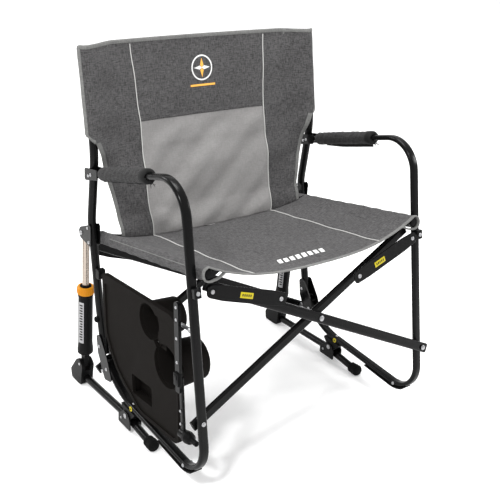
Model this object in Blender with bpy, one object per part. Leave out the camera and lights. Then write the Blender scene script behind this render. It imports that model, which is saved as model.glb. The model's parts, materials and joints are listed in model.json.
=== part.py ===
"""Folding camp rocking chair with a swing-out side table.

Metres, +Z up, the sitter faces -Y and sits with the right hand on the -X side. The origin is on
the floor under the middle of the chair. Two side frames stand on hinged ground bars and rock on
them against spring struts. Two pairs of crossed tubes join the side frames and fold them together.
"""
import math

import bmesh
import bpy
from mathutils import Matrix, Vector

# ---------------------------------------------------------------- driving dimensions
SIDE_X = 0.315            # centre plane of each side loop
POST_X = SIDE_X           # centre plane of each back post
BASE_X = SIDE_X           # centre plane of the ground bars and spring struts
LEAN = math.radians(11.3)  # backward lean of the legs, and fall of the seat towards the back
FOOT_Y, FOOT_Z = -0.2672, 0.186  # front lower pivot of the crossed tubes, on the leg's centre line

LOOP_WIDTH, LOOP_DEPTH = 0.022, 0.0125   # flat-oval tube of the side loop, across and in its plane
POST_RADIUS = 0.010
ARM_CORNER_UP = 0.5128    # from the pivot up the leg to the arm's corner
TOE_CORNER_UP = -0.1394   # and down to the toe's corner
ARM_END = (0.1900, 0.5849)  # (y, z) where the arm meets the back post
RAIL_CORNER = (0.0765, 0.0725)
RAIL_END = (0.131, 0.1255)
POST_PATH = [(0.1510, 0.1400), (0.1790, 0.2560), (0.2160, 0.4627), (0.1995, 0.6250),
             (0.2460, 0.8580)]
POST_BENDS = [0, 0.30, 0.10, 0.25, 0]

CROSS_ANGLE = math.radians(26.0)   # crossed tubes above the horizontal when the chair is open
CROSS_WIDTH, CROSS_DEPTH = 0.024, 0.011
CROSS_HALF = SIDE_X / math.cos(CROSS_ANGLE)   # lower pivot to centre bolt
RAIL_X = 0.287            # seat rail centre from the chair's middle
RAIL_RADIUS = 0.009
EYE_RADIUS = 0.0122       # eye on the crossed tube that holds the rail
RAIL_OFFSET = 0.0225      # seat rail centre above the crossed tube's centre line
FRONT_B, FRONT_A = -0.0140, 0.0140   # centre of each front tube along the fold axis
REAR_A, REAR_B = 0.4370, 0.4495      # and of each rear tube
RAIL_SPAN = (-0.0205, 0.4570)
SEAT_FRONT, SEAT_END = -0.0230, 0.3660   # seat cloth along the fold axis
POST_ALONG = 0.4230       # the post's centre along the fold axis at the link's height
REAR_BOSS = 0.4140        # seat of the rear foot bolt along the fold axis
LINK_PIVOT = (0.282, 0.2810)         # (x, up) of the link's pivot on its leg bracket
LINK_PIN = (0.1124, 0.2265)          # (x, up) of the link's far rivet
FRONT_LINK, REAR_LINK = -0.0225, 0.4645

ROCK_AXIS = (0.0218, 0.0413)         # (y, z) of the hinge between side frame and ground bar
TIP = (-0.0612, 0.0147)
TIP_RADIUS = 0.0147
BAR_BEND = (0.0509, 0.0262)
TEE = (0.2769, 0.0170)
BAR_RADIUS = 0.0092
STRUT_LOW = (0.2571, 0.0593)         # (y, z) of the spring strut's two ends
STRUT_TOP = (0.2455, 0.4231)
STRUT_LENGTH = math.dist(STRUT_LOW, STRUT_TOP)
ROD_RADIUS = 0.0087
CYLINDER_RADIUS = 0.0180
CYLINDER_BORE = 0.0150
COLLAR_RADIUS = 0.0210

PAD_RADIUS = 0.0170
PAD_START, PAD_LENGTH = 0.034, 0.203  # arm pad, from the arm's rear end
PLATE = 0.0024            # sheet steel of the brackets
SLING = 0.003             # thickness of the woven slings
SEAT_SAG = 0.038
TABLE_TILT = math.radians(5.25)
TABLE_CORNER = (0.1561, 0.3540)      # (y, z) of the stowed table's top rear corner
TABLE_X = -0.315
TABLE_THICK = 0.012
HINGE_DROP = 0.010        # table hinge axis below its top edge
SMALL_CUP = (0.2065, 0.0490, 0.0415, 0.066)   # along, down, radius, depth
LARGE_CUP = (0.2740, 0.1298, 0.0500, 0.076)
PHONE_SLOT = (0.1637, 0.2351, 0.088, 0.048)   # along, down, length, width
STAY_ALONG = 0.3385
STAY_SPAN = (-0.045, 0.262)          # stay's top and pivot, down from the table's corner
STAY_X = -0.3270
CUP_WALL = 0.0030
GAP = 0.0004              # between neighbouring pieces
MIDDLE = (0, -0.0065, 0)  # puts the origin under the middle of the chair's length

X_AXIS = Vector((1, 0, 0))
FOLD_AXIS = Vector((0, math.cos(LEAN), -math.sin(LEAN)))
LEG_UP = Vector((0, math.sin(LEAN), math.cos(LEAN)))
FOOT = Vector((0, FOOT_Y, FOOT_Z))
TABLE_FRONT = Vector((0, -math.cos(TABLE_TILT), math.sin(TABLE_TILT)))
TABLE_DOWN = Vector((0, -math.sin(TABLE_TILT), -math.cos(TABLE_TILT)))


def fold_point(x, along, up):
    """A point given in the folding mechanism's own axes."""
    return FOOT + X_AXIS * x + FOLD_AXIS * along + LEG_UP * up


def table_point(x, along, down):
    """A point given from the stowed table's top rear corner."""
    return Vector((x, *TABLE_CORNER)) + TABLE_FRONT * along + TABLE_DOWN * down


# ---------------------------------------------------------------- scene and materials
def clear_scene():
    for old in list(bpy.data.objects):
        bpy.data.objects.remove(old, do_unlink=True)


FINISHES = {
    "black_tube": ((0.018, 0.018, 0.019), 0.38, 0.3),
    "black_plastic": ((0.016, 0.016, 0.017), 0.55, 0.0),
    "table_plastic": ((0.030, 0.029, 0.028), 0.60, 0.0),
    "rubber": ((0.014, 0.014, 0.014), 0.75, 0.0),
    "zinc": ((0.62, 0.62, 0.63), 0.30, 1.0),
    "rod_steel": ((0.66, 0.63, 0.60), 0.25, 1.0),
    "amber_plastic": ((0.80, 0.36, 0.02), 0.45, 0.0),
    "heather_fabric": ((0.12, 0.12, 0.122), 0.90, 0.0),
    "pad_fabric": ((0.07, 0.07, 0.072), 0.90, 0.0),
}


def make_materials():
    made = {}
    for name, (colour, roughness, metallic) in FINISHES.items():
        material = bpy.data.materials.new(name)
        material.use_nodes = True
        shader = material.node_tree.nodes["Principled BSDF"]
        shader.inputs["Base Color"].default_value = (*colour, 1)
        shader.inputs["Roughness"].default_value = roughness
        shader.inputs["Metallic"].default_value = metallic
        made[name] = material
    return made


def finish_object(name, mesh_builder, material, origin=(0, 0, 0), smooth=40):
    """Turn a bmesh into a named object whose origin is on its joint's axis."""
    origin = Vector(origin)
    centred = origin + Vector(MIDDLE)
    bmesh.ops.remove_doubles(mesh_builder, verts=mesh_builder.verts, dist=0.00002)
    bmesh.ops.recalc_face_normals(mesh_builder, faces=mesh_builder.faces)
    mesh = bpy.data.meshes.new(name)
    mesh_builder.to_mesh(mesh)
    mesh_builder.free()
    mesh.transform(Matrix.Translation(-origin))
    mesh.materials.append(MATERIALS[material])
    mesh.shade_smooth()
    mesh.set_sharp_from_angle(angle=math.radians(smooth))
    made = bpy.data.objects.new(name, mesh)
    made.location = centred
    bpy.context.collection.objects.link(made)
    return made


def combine(target, tool, operation):
    """Join or cut with a Boolean; the tool becomes a hidden guide."""
    tool.hide_render = True
    tool.display_type = 'WIRE'
    tool.name = "guide_" + tool.name
    change = target.modifiers.new(operation.lower(), 'BOOLEAN')
    change.operation = operation
    change.solver = 'EXACT'
    change.object = tool


# ---------------------------------------------------------------- shape builders
def rounded_path(corners, radii, step=math.radians(12)):
    """A polyline of 2-D points whose corners are replaced by arcs."""
    points = [Vector(corners[0])]
    for before, corner, after, radius in zip(corners, corners[1:], corners[2:], radii[1:]):
        here = Vector(corner)
        back = (Vector(before) - here).normalized()
        on = (Vector(after) - here).normalized()
        half = back.angle(on) / 2
        turn = math.pi - 2 * half
        if radius <= 0:
            points.append(here)
            continue
        centre = here + (back + on).normalized() * (radius / math.sin(half))
        start = here + back * (radius / math.tan(half)) - centre
        sign = 1 if back.x * on.y - back.y * on.x < 0 else -1
        count = max(2, round(turn / step))
        for index in range(count + 1):
            angle = sign * turn * index / count
            cos, sin = math.cos(angle), math.sin(angle)
            turned_start = Vector((start.x * cos - start.y * sin, start.x * sin + start.y * cos))
            points.append(centre + turned_start)
    points.append(Vector(corners[-1]))
    return points


def closed_outline(corners, radii, step=math.radians(15)):
    """A closed 2-D outline with rounded corners."""
    ring = [Vector(corner) for corner in corners]
    middle = (ring[-1] + ring[0]) / 2
    path = rounded_path([middle, *ring, middle], [0, *radii, 0], step)
    return path[:-1]


def flat_oval(width, depth, segments=14):
    """Section of a tube with two flat sides: (across, in-plane) points."""
    radius = min(width, depth) / 2
    spread = max(width, depth) / 2 - radius
    ring = []
    for index in range(segments):
        angle = 2 * math.pi * (index + 0.5) / segments
        across, deep = radius * math.cos(angle), radius * math.sin(angle)
        if width >= depth:
            across += math.copysign(spread, across)
        else:
            deep += math.copysign(spread, deep)
        ring.append((across, deep))
    return ring


def loft(rings, close_ends=True):
    """Skin a list of point rings into one closed body."""
    body = bmesh.new()
    rows = [[body.verts.new(point) for point in ring] for ring in rings]
    count = len(rows[0])
    for lower, upper in zip(rows, rows[1:]):
        for index in range(count):
            following = (index + 1) % count
            body.faces.new((lower[index], lower[following], upper[following], upper[index]))
    if close_ends:
        body.faces.new(rows[0][::-1])
        body.faces.new(rows[-1])
    return body


def side_sweep(path, section, plane_x):
    """Sweep a section along a (y, z) path that lies in a plane of constant x."""
    points = [Vector((plane_x, y, z)) for y, z in path]
    rings = []
    for index, point in enumerate(points):
        before = points[max(index - 1, 0)]
        after = points[min(index + 1, len(points) - 1)]
        if index in (0, len(points) - 1):
            normal = (after - before).normalized().cross(X_AXIS)
            stretch = 1.0
        else:
            first, second = (point - before).normalized(), (after - point).normalized()
            normal = (first + second).normalized().cross(X_AXIS)
            stretch = 1 / max(0.5, math.cos(first.angle(second) / 2))
        rings.append([point + X_AXIS * across + normal * deep * stretch for across, deep in section])
    return loft(rings)


def straight_bar(start, end, side, width, depth, segments=14):
    """A straight flat-oval bar; width runs along side."""
    along = (end - start).normalized()
    side = (side - along * side.dot(along)).normalized()
    other = along.cross(side)
    section = flat_oval(width, depth, segments)
    return loft([[point + side * a + other * d for a, d in section] for point in (start, end)])


def turned(start, axis, profile, segments=20, closed=False):
    """A body of revolution from (distance along the axis, radius) pairs."""
    axis = axis.normalized()
    side = axis.orthogonal().normalized()
    other = axis.cross(side)
    rings = []
    for distance, radius in profile:
        centre = start + axis * distance
        ring = []
        for index in range(segments):
            angle = 2 * math.pi * index / segments
            ring.append(centre + (side * math.cos(angle) + other * math.sin(angle)) * radius)
        rings.append(ring)
    if closed:
        rings.append(rings[0])
    return loft(rings, close_ends=not closed)


def prism(outline, place, low, high):
    """Extrude a 2-D outline; place maps (u, v, height) to a point."""
    rings = [[place(point[0], point[1], height) for point in outline] for height in (low, high)]
    return loft(rings)


def block(centre, size, axes=None, bevel=0.0015):
    """A box with softened edges, along its own three axes."""
    axes = axes or (X_AXIS, Vector((0, 1, 0)), Vector((0, 0, 1)))
    body = bmesh.new()
    bmesh.ops.create_cube(body, size=1.0)
    bmesh.ops.scale(body, vec=size, verts=body.verts)
    bmesh.ops.bevel(body, geom=body.edges[:], offset=bevel, segments=1, affect='EDGES')
    turn = Matrix([list(axis) for axis in axes]).transposed().to_4x4()
    bmesh.ops.transform(body, matrix=Matrix.Translation(centre) @ turn, verts=body.verts)
    return body


FOLD_AXES = (X_AXIS, FOLD_AXIS, LEG_UP)


def guide_cylinder(name, start, end, radius, segments=20):
    """A cutter for round holes."""
    length = (end - start).length
    body = turned(start, end - start, [(0, radius), (length, radius)], segments)
    return finish_object(name, body, "zinc")


# ---------------------------------------------------------------- side frames
def loop_path():
    """Centre line of the side loop: arm, leg, toe and base rail."""
    arm_corner = fold_point(0, 0, ARM_CORNER_UP)
    toe_corner = fold_point(0, 0, TOE_CORNER_UP)
    corners = [ARM_END, (arm_corner.y, arm_corner.z), (toe_corner.y, toe_corner.z), RAIL_CORNER,
               RAIL_END]
    bends = [0, 0.074, 0.066, 0.185, 0]
    return rounded_path(corners, bends, math.radians(10))


def rail_height(y):
    """Height of the straight part of the base rail's centre line."""
    toe = fold_point(0, 0, TOE_CORNER_UP)
    return toe.z + (y - toe.y) * (RAIL_CORNER[1] - toe.z) / (RAIL_CORNER[0] - toe.y)


def post_y(height):
    """How far back the post's centre line is at a height."""
    for (y0, z0), (y1, z1) in zip(POST_PATH, POST_PATH[1:]):
        if z0 <= height <= z1:
            return y0 + (y1 - y0) * (height - z0) / (z1 - z0)
    return POST_PATH[-1][0]


def side_frame(side, sign):
    """All the pieces that are fixed to one side frame."""
    x = SIDE_X * sign
    pivot = (BASE_X * sign, *ROCK_AXIS)
    section = flat_oval(LOOP_WIDTH, LOOP_DEPTH, 12)
    finish_object(f"side_loop_{side}", side_sweep(loop_path(), section, x), "black_tube", pivot)

    post = rounded_path(POST_PATH, POST_BENDS, math.radians(8))
    round_section = flat_oval(2 * POST_RADIUS, 2 * POST_RADIUS, 14)
    post_body = side_sweep(post, round_section, POST_X * sign)
    finish_object(f"back_post_{side}", post_body, "black_tube", pivot)

    toe_pad(side, x, pivot)
    arm_pad(side, x, pivot)
    rock_block(side, sign, pivot)
    rear_bracket(side, sign, pivot)
    arm_saddle(side, sign, pivot)
    strut_bracket(side, sign, pivot)
    link_block(side, sign, pivot)
    foot_bolts(side, x, pivot)


def bridged_plates(name, outline, x, inner, thick, bridges, pivot):
    """Two parallel plates a set distance apart, joined by web blocks of (centre, size)."""
    def plate(low):
        return prism(outline, lambda u, v, h: Vector((x + low + h, u, v)), 0, thick)

    made = finish_object(name, plate(inner), "black_tube", pivot)
    combine(made, finish_object(name + "_plate", plate(-inner - thick), "black_tube"), 'UNION')
    for index, (centre, size) in enumerate(bridges):
        web = block(Vector((x, *centre)), (2 * inner + thick, *size), bevel=0.0004)
        combine(made, finish_object(f"{name}_web_{index}", web, "black_tube"), 'UNION')
    return made


def toe_pad(side, x, pivot):
    """Rubber shoe under the front bend of the loop."""
    path = loop_path()
    lowest = min(path, key=lambda point: point[1])
    rear_y = lowest[0] + 0.095
    shoe = [point for point in path if abs(point[0] - lowest[0]) < 0.062 and point[1] < 0.075]
    shoe.append(Vector((rear_y, rail_height(rear_y))))
    inner, outer = [], []
    for index, point in enumerate(shoe):
        before, after = shoe[max(index - 1, 0)], shoe[min(index + 1, len(shoe) - 1)]
        way = (Vector(after) - Vector(before)).normalized()
        down = Vector((way.y, -way.x))
        if down.y > 0:
            down = -down
        thick = 0.0045 if 0 < index < len(shoe) - 1 else 0.0022
        inner.append(Vector(point) + down * (LOOP_DEPTH / 2 + GAP))
        outer.append(Vector(point) + down * (LOOP_DEPTH / 2 + GAP + thick))
    outline = inner + outer[::-1]
    body = prism(outline, lambda u, v, h: Vector((x + h, u, v)), -0.0125, 0.0125)
    finish_object(f"toe_pad_{side}", body, "rubber", pivot, smooth=50)


def rear_bracket(side, sign, pivot):
    """Plates that join the base rail to the post, with the rear foot pivot's boss."""
    outline = closed_outline([(0.093, 0.092), (0.128, 0.083), (0.1625, 0.141), (0.1705, 0.186),
                              (0.152, 0.190), (0.118, 0.146)], [0.008] * 6)
    webs = [((0.1405, 0.1330), (0.0090, 0.0090)), ((0.1335, 0.1065), (0.0060, 0.0160))]
    bridged_plates(f"rear_bracket_{side}", outline, SIDE_X * sign, LOOP_WIDTH / 2 + GAP, PLATE,
                   webs, pivot)


def arm_saddle(side, sign, pivot):
    """Saddle that holds the arm's rear end against the post."""
    y, z = ARM_END[0] - 0.004, ARM_END[1] + 0.001
    outline = closed_outline([(y - 0.022, z - 0.007), (y + 0.037, z - 0.024), (y + 0.037, z + 0.006),
                              (y - 0.022, z + 0.017)], [0.006] * 4)
    webs = [((post_y(z) + POST_RADIUS + GAP + 0.0040, z - 0.006), (0.0030, 0.020))]
    bridged_plates(f"arm_saddle_{side}", outline, SIDE_X * sign, LOOP_WIDTH / 2 + GAP, PLATE,
                   webs, pivot)


def arm_pad(side, x, pivot):
    """Padded sleeve round the arm, with the open seam underneath."""
    arm_corner = fold_point(0, 0, ARM_CORNER_UP)
    rear = Vector((x, *ARM_END))
    front = Vector((x, arm_corner.y, arm_corner.z))
    along = (front - rear).normalized()
    start = rear + along * PAD_START
    rings = []
    upward = along.cross(X_AXIS)
    if upward.z < 0:
        upward = -upward
    steps = 22
    seam = math.radians(7)
    inner_section = []
    outer_section = []
    for index in range(steps + 1):
        angle = -math.pi / 2 + seam + (2 * math.pi - 2 * seam) * index / steps
        outer_section.append((PAD_RADIUS * math.cos(angle), (PAD_RADIUS - 0.001) * math.sin(angle)))
        inner_section.append(((LOOP_WIDTH / 2 + 0.0008) * math.cos(angle),
                              (LOOP_WIDTH / 2 - 0.0006) * math.sin(angle)))
    section = outer_section + inner_section[::-1]
    for distance in (0, PAD_LENGTH):
        centre = start + along * distance
        rings.append([centre + X_AXIS * across + upward * up for across, up in section])
    finish_object(f"arm_pad_{side}", loft(rings), "pad_fabric", pivot, smooth=50)


def strut_bracket(side, sign, pivot):
    """Two ears on the post that hold the spring strut's upper eye."""
    y, z = STRUT_TOP
    post = post_y(z)
    outline = closed_outline([(post - 0.011, z - 0.020), (y + 0.004, z - 0.014), (y + 0.015, z),
                              (y + 0.004, z + 0.014), (post - 0.004, z + 0.034),
                              (post - 0.011, z + 0.030)],
                             [0.005, 0.009, 0.010, 0.009, 0.006, 0.006])
    webs = [((post + POST_RADIUS + GAP + 0.0046, z + 0.004), (0.0030, 0.018))]
    bridged_plates(f"strut_bracket_{side}", outline, POST_X * sign, POST_RADIUS + GAP, PLATE,
                   webs, pivot)


def rock_block(side, sign, pivot):
    """Hinge block clamped under the base rail; the side frame rocks on its bore."""
    y, z = ROCK_AXIS
    top = rail_height(y) - LOOP_DEPTH / 2 - GAP
    outline = closed_outline([(y - 0.034, top - 0.0046), (y - 0.012, z - 0.0070),
                              (y + 0.005, z - 0.0070), (y + 0.026, top - 0.004),
                              (y + 0.026, top + 0.0012), (y - 0.034, top - 0.0024)],
                             [0.002, 0.007, 0.007, 0.003, 0.001, 0.001])
    x = BASE_X * sign
    body = prism(outline, lambda u, v, h: Vector((x + h, u, v)), -0.0125, 0.0125)
    made = finish_object(f"rock_block_{side}", body, "black_plastic", pivot)
    start, end = Vector((x - 0.03, y, z)), Vector((x + 0.03, y, z))
    combine(made, guide_cylinder(f"rock_bore_{side}", start, end, 0.0044), 'DIFFERENCE')


def link_block(side, sign, pivot):
    """Block on the leg that stands the link off."""
    spot = fold_point((SIDE_X - 0.002) * sign, -LOOP_DEPTH / 2 - GAP - 0.0062, LINK_PIVOT[1] + 0.002)
    body = block(spot, (0.017, 0.0124, 0.022), FOLD_AXES, 0.001)
    finish_object(f"link_block_{side}", body, "black_tube", pivot)


def foot_bolts(side, x, pivot):
    """Bolts at the crossed tubes' lower ends, on the leg and on the rear bracket."""
    way = -FOLD_AXIS if side == "left" else FOLD_AXIS
    shank = 0.0145
    profile = [(0, 0.0038), (shank, 0.0038), (shank, 0.0062), (shank + 0.002, 0.0060),
               (shank + 0.0037, 0.0030)]
    front = turned(fold_point(x, 0, 0) + way * (LOOP_DEPTH / 2 + GAP), way, profile, 14)
    finish_object(f"front_foot_bolt_{side}", front, "zinc", pivot)
    tube = REAR_B if side == "left" else REAR_A
    face = tube - CROSS_DEPTH / 2 - GAP - REAR_BOSS
    far = tube + CROSS_DEPTH / 2 + GAP - REAR_BOSS
    boss = [(0, 0.0085), (face, 0.0085), (face, 0.0038), (far, 0.0038), (far, 0.0066),
            (far + 0.002, 0.0060)]
    rear = turned(fold_point(x, REAR_BOSS, 0), FOLD_AXIS, boss, 14)
    finish_object(f"rear_foot_bolt_{side}", rear, "zinc", pivot)


# ---------------------------------------------------------------- ground bars and spring struts
def ground_base(side, sign):
    """The floor bar with its front tip, rear tee and hinge ears."""
    x = BASE_X * sign
    pivot = (x, *ROCK_AXIS)
    way = (Vector(BAR_BEND) - Vector(TIP)).normalized()
    front = Vector(TIP) + way * 0.006
    path = rounded_path([front, BAR_BEND, (TEE[0] + 0.0040, TEE[1])], [0, 0.12, 0], math.radians(4))
    section = flat_oval(2 * BAR_RADIUS, 2 * BAR_RADIUS, 16)
    finish_object(f"ground_bar_{side}", side_sweep(path, section, x), "black_tube", pivot)

    start = Vector((x, TIP[0] + 0.006, TIP[1]))
    tip_profile = [(0.0014, 0.0118), (0.002, 0.0138), (0.009, 0.0138), (0.010, 0.0128),
                   (0.012, 0.0128), (0.013, TIP_RADIUS), (0.026, TIP_RADIUS), (0.031, 0.0115),
                   (0.033, 0.0060)]
    tip = turned(start, Vector((0, -1, 0)), tip_profile, 16)
    finish_object(f"ground_tip_{side}", tip, "rubber", pivot)

    y, z = ROCK_AXIS
    outline = closed_outline([(y - 0.020, 0.0095), (y + 0.034, 0.0095), (y + 0.034, 0.0330),
                              (y + 0.009, z + 0.0095), (y - 0.009, z + 0.0095), (y - 0.020, 0.0320)],
                             [0.003, 0.003, 0.005, 0.008, 0.008, 0.005])
    webs = [((y + 0.010, 0.0114), (0.020, 0.0030))]
    ears = bridged_plates(f"rock_ears_{side}", outline, x, 0.0130, 0.0028, webs, pivot)
    start, end = Vector((x - 0.03, y, z)), Vector((x + 0.03, y, z))
    combine(ears, guide_cylinder(f"ear_bore_{side}", start, end, 0.0044), 'DIFFERENCE')
    pin = [(0, 0.0030), (0.0012, 0.0062), (0.0030, 0.0064), (0.0030, 0.0040), (0.0354, 0.0040),
           (0.0354, 0.0064), (0.0372, 0.0062), (0.0384, 0.0030)]
    pin_body = turned(Vector((x - 0.0192, y, z)), X_AXIS, pin, 16)
    finish_object(f"rock_pin_{side}", pin_body, "zinc", pivot)
    rear_tee(side, x, pivot)


def rear_tee(side, x, pivot):
    """Moulded rear foot with the ears of the strut's lower hinge."""
    low_y, low_z = STRUT_LOW
    outline = closed_outline([(0.2640, 0.0002), (0.3010, 0.0002), (0.3060, 0.0230),
                              (0.2730, low_z + 0.0080), (0.2570, low_z + 0.0125), (0.2410, low_z),
                              (0.2470, 0.0300), (0.2490, 0.0030)],
                             [0.004, 0.008, 0.010, 0.010, 0.012, 0.010, 0.006, 0.003])
    body = prism(outline, lambda u, v, h: Vector((x + h, u, v)), -0.0165, 0.0165)
    made = finish_object(f"rear_tee_{side}", body, "black_plastic", pivot)
    slot = block(Vector((x, low_y, low_z + 0.014)), (0.0150, 0.080, 0.0640), bevel=0.0004)
    combine(made, finish_object(f"tee_slot_{side}", slot, "zinc"), 'DIFFERENCE')
    end = Vector((x, TEE[0] + 0.0046, TEE[1]))
    start = end + (Vector((x, *BAR_BEND)) - end).normalized() * 0.060
    combine(made, guide_cylinder(f"tee_bore_{side}", start, end, BAR_RADIUS + 0.0006), 'DIFFERENCE')


def spring_strut(side, sign):
    """Telescopic spring strut: cylinder with its lower clevis, collar, and rod with its eye."""
    x = BASE_X * sign
    low, top = Vector((x, *STRUT_LOW)), Vector((x, *STRUT_TOP))
    way = (top - low).normalized()
    cylinder = [(0.0300, 0.0165), (0.0330, 0.0196), (0.0420, 0.0200), (0.0560, 0.0184),
                (0.0600, CYLINDER_RADIUS), (0.1985, CYLINDER_RADIUS), (0.1985, CYLINDER_BORE),
                (0.0520, CYLINDER_BORE), (0.0520, 0.0010)]
    barrel = turned(low, way, cylinder, 18)
    made = finish_object(f"strut_cylinder_{side}", barrel, "black_plastic", low)
    collar = [(0.1989, 0.0092), (0.1989, COLLAR_RADIUS - 0.0015), (0.2005, COLLAR_RADIUS),
              (0.2170, COLLAR_RADIUS), (0.2195, COLLAR_RADIUS - 0.0025), (0.2195, 0.0150),
              (0.2165, 0.0135), (0.2165, 0.0092)]
    cap = turned(low, way, collar, 18, closed=True)
    finish_object(f"strut_collar_{side}", cap, "amber_plastic", low)

    across = way.cross(X_AXIS)
    clevis = closed_outline([(-0.0080, -0.0095), (0.0080, -0.0095), (0.0100, 0.0340), (-0.0100, 0.0340)],
                            [0.0078, 0.0078, 0.002, 0.002])
    body = prism(clevis, lambda u, v, h: low + across * u + way * v + X_AXIS * h, -0.0068, 0.0068)
    combine(made, finish_object(f"clevis_{side}", body, "black_plastic"), 'UNION')
    hole = guide_cylinder(f"clevis_bore_{side}", low - X_AXIS * 0.03, low + X_AXIS * 0.03, 0.0036)
    combine(made, hole, 'DIFFERENCE')

    rod = [(0.1300, 0.0060), (0.1300, 0.0142), (0.1380, 0.0142), (0.1380, ROD_RADIUS),
           (STRUT_LENGTH - 0.0080, ROD_RADIUS)]
    eye = [(-0.0070, 0.0046), (-0.0070, 0.0120), (0.0070, 0.0120), (0.0070, 0.0046)]
    made = finish_object(f"strut_rod_{side}", turned(low, way, rod, 16), "rod_steel", top)
    ring = finish_object(f"rod_eye_{side}", turned(top, X_AXIS, eye, 18, closed=True), "rod_steel")
    combine(made, ring, 'UNION')


# ---------------------------------------------------------------- crossed tubes, seat rails and links
def cross_tube(name, low_sign, along, pivot):
    """One crossed tube, from the side low_sign up to the seat rail on the other side."""
    cos, sin = math.cos(CROSS_ANGLE), math.sin(CROSS_ANGLE)
    way = X_AXIS * (-low_sign * cos) + LEG_UP * sin
    up = X_AXIS * (low_sign * sin) + LEG_UP * cos
    foot = fold_point(SIDE_X * low_sign, along, 0)
    length = ((SIDE_X + RAIL_X) + RAIL_OFFSET * sin) / cos
    bar = straight_bar(foot - way * 0.0165, foot + way * (length - 0.004), up, CROSS_WIDTH, CROSS_DEPTH, 14)
    tube = finish_object(name, bar, "black_tube", pivot)
    eye_centre = foot + way * length + up * RAIL_OFFSET
    half = CROSS_DEPTH / 2
    eye_profile = [(-half, 0.0020), (-half, EYE_RADIUS), (half, EYE_RADIUS), (half, 0.0020)]
    eye = turned(eye_centre, FOLD_AXIS, eye_profile, 18)
    neck = block(foot + way * (length - 0.006) + up * 0.0110, (0.019, CROSS_DEPTH - 0.0004, 0.012),
                 (way, FOLD_AXIS, up), 0.0005)
    combine(tube, finish_object(name + "_eye", eye, "black_tube"), 'UNION')
    combine(tube, finish_object(name + "_neck", neck, "black_tube"), 'UNION')
    reach = FOLD_AXIS * 0.05
    combine(tube, guide_cylinder(name + "_rail_bore", eye_centre - reach, eye_centre + reach,
                                 RAIL_RADIUS + 0.0005, 20), 'DIFFERENCE')
    middle = foot + way * CROSS_HALF
    for label, spot in (("foot_bore", foot), ("middle_bore", middle)):
        bore = guide_cylinder(f"{name}_{label}", spot - reach, spot + reach, 0.0043, 16)
        combine(tube, bore, 'DIFFERENCE')
    return tube


def crossed_tubes():
    """The front and rear pair, with the bolt that joins each pair in the middle."""
    foot_a = fold_point(-SIDE_X, 0, 0)
    middle = fold_point(0, 0, CROSS_HALF * math.sin(CROSS_ANGLE))
    cross_tube("cross_front_a", -1, FRONT_A, foot_a)
    cross_tube("cross_rear_a", -1, REAR_A, foot_a)
    cross_tube("cross_front_b", 1, FRONT_B, middle)
    cross_tube("cross_rear_b", 1, REAR_B, middle)
    half = CROSS_DEPTH / 2
    rise = CROSS_HALF * math.sin(CROSS_ANGLE)
    for place, first, second in (("front", FRONT_B, FRONT_A), ("rear", REAR_A, REAR_B)):
        head = 0.0034
        start = fold_point(0, first - half - head, rise)
        outer, end = head + 2 * half, second - first + 2 * half + head
        profile = [(0, 0.0030), (0.0018, 0.0062), (head - GAP, 0.0066), (head - GAP, 0.0038),
                   (outer + GAP, 0.0038), (outer + GAP, 0.0085), (end - 2 * half - GAP, 0.0085),
                   (end - 2 * half - GAP, 0.0038), (end + GAP, 0.0038), (end + GAP, 0.0066),
                   (end + 0.0022, 0.0062), (end + 0.0034, 0.0030)]
        if end - 2 * half - GAP <= outer + GAP:
            profile = profile[:4] + profile[8:]
        finish_object(f"centre_bolt_{place}", turned(start, FOLD_AXIS, profile, 14), "zinc", middle)


def seat_rails():
    """The two rails in the crossed tubes' upper eyes, and the seat they carry."""
    rise = (SIDE_X + RAIL_X + RAIL_OFFSET * math.sin(CROSS_ANGLE)) * math.tan(CROSS_ANGLE)
    rise += RAIL_OFFSET * math.cos(CROSS_ANGLE)
    for side, sign in (("right", -1), ("left", 1)):
        start = fold_point(RAIL_X * sign, RAIL_SPAN[0], rise)
        end = fold_point(RAIL_X * sign, RAIL_SPAN[1], rise)
        length = (end - start).length
        pivot = fold_point(RAIL_X * sign, 0, rise)
        rail = turned(start, FOLD_AXIS, [(0, RAIL_RADIUS), (length, RAIL_RADIUS)], 18)
        finish_object(f"seat_rail_{side}", rail, "black_tube", pivot)
    seat_sling(rise)


def thick_outline(line, half):
    """A closed outline that follows a 2-D line at half a thickness on both sides."""
    outer, inner = [], []
    for index, point in enumerate(line):
        before, after = line[max(index - 1, 0)], line[min(index + 1, len(line) - 1)]
        way = (after - before).normalized()
        normal = Vector((-way.y, way.x)) * half
        outer.append(point + normal)
        inner.append(point - normal)
    return outer + inner[::-1]


def mirrored_line(right_half):
    """The whole 2-D line of a sheet from its right half, which ends on the middle."""
    return right_half + [Vector((-point.x, point.y)) for point in right_half[:-1]][::-1]


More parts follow.
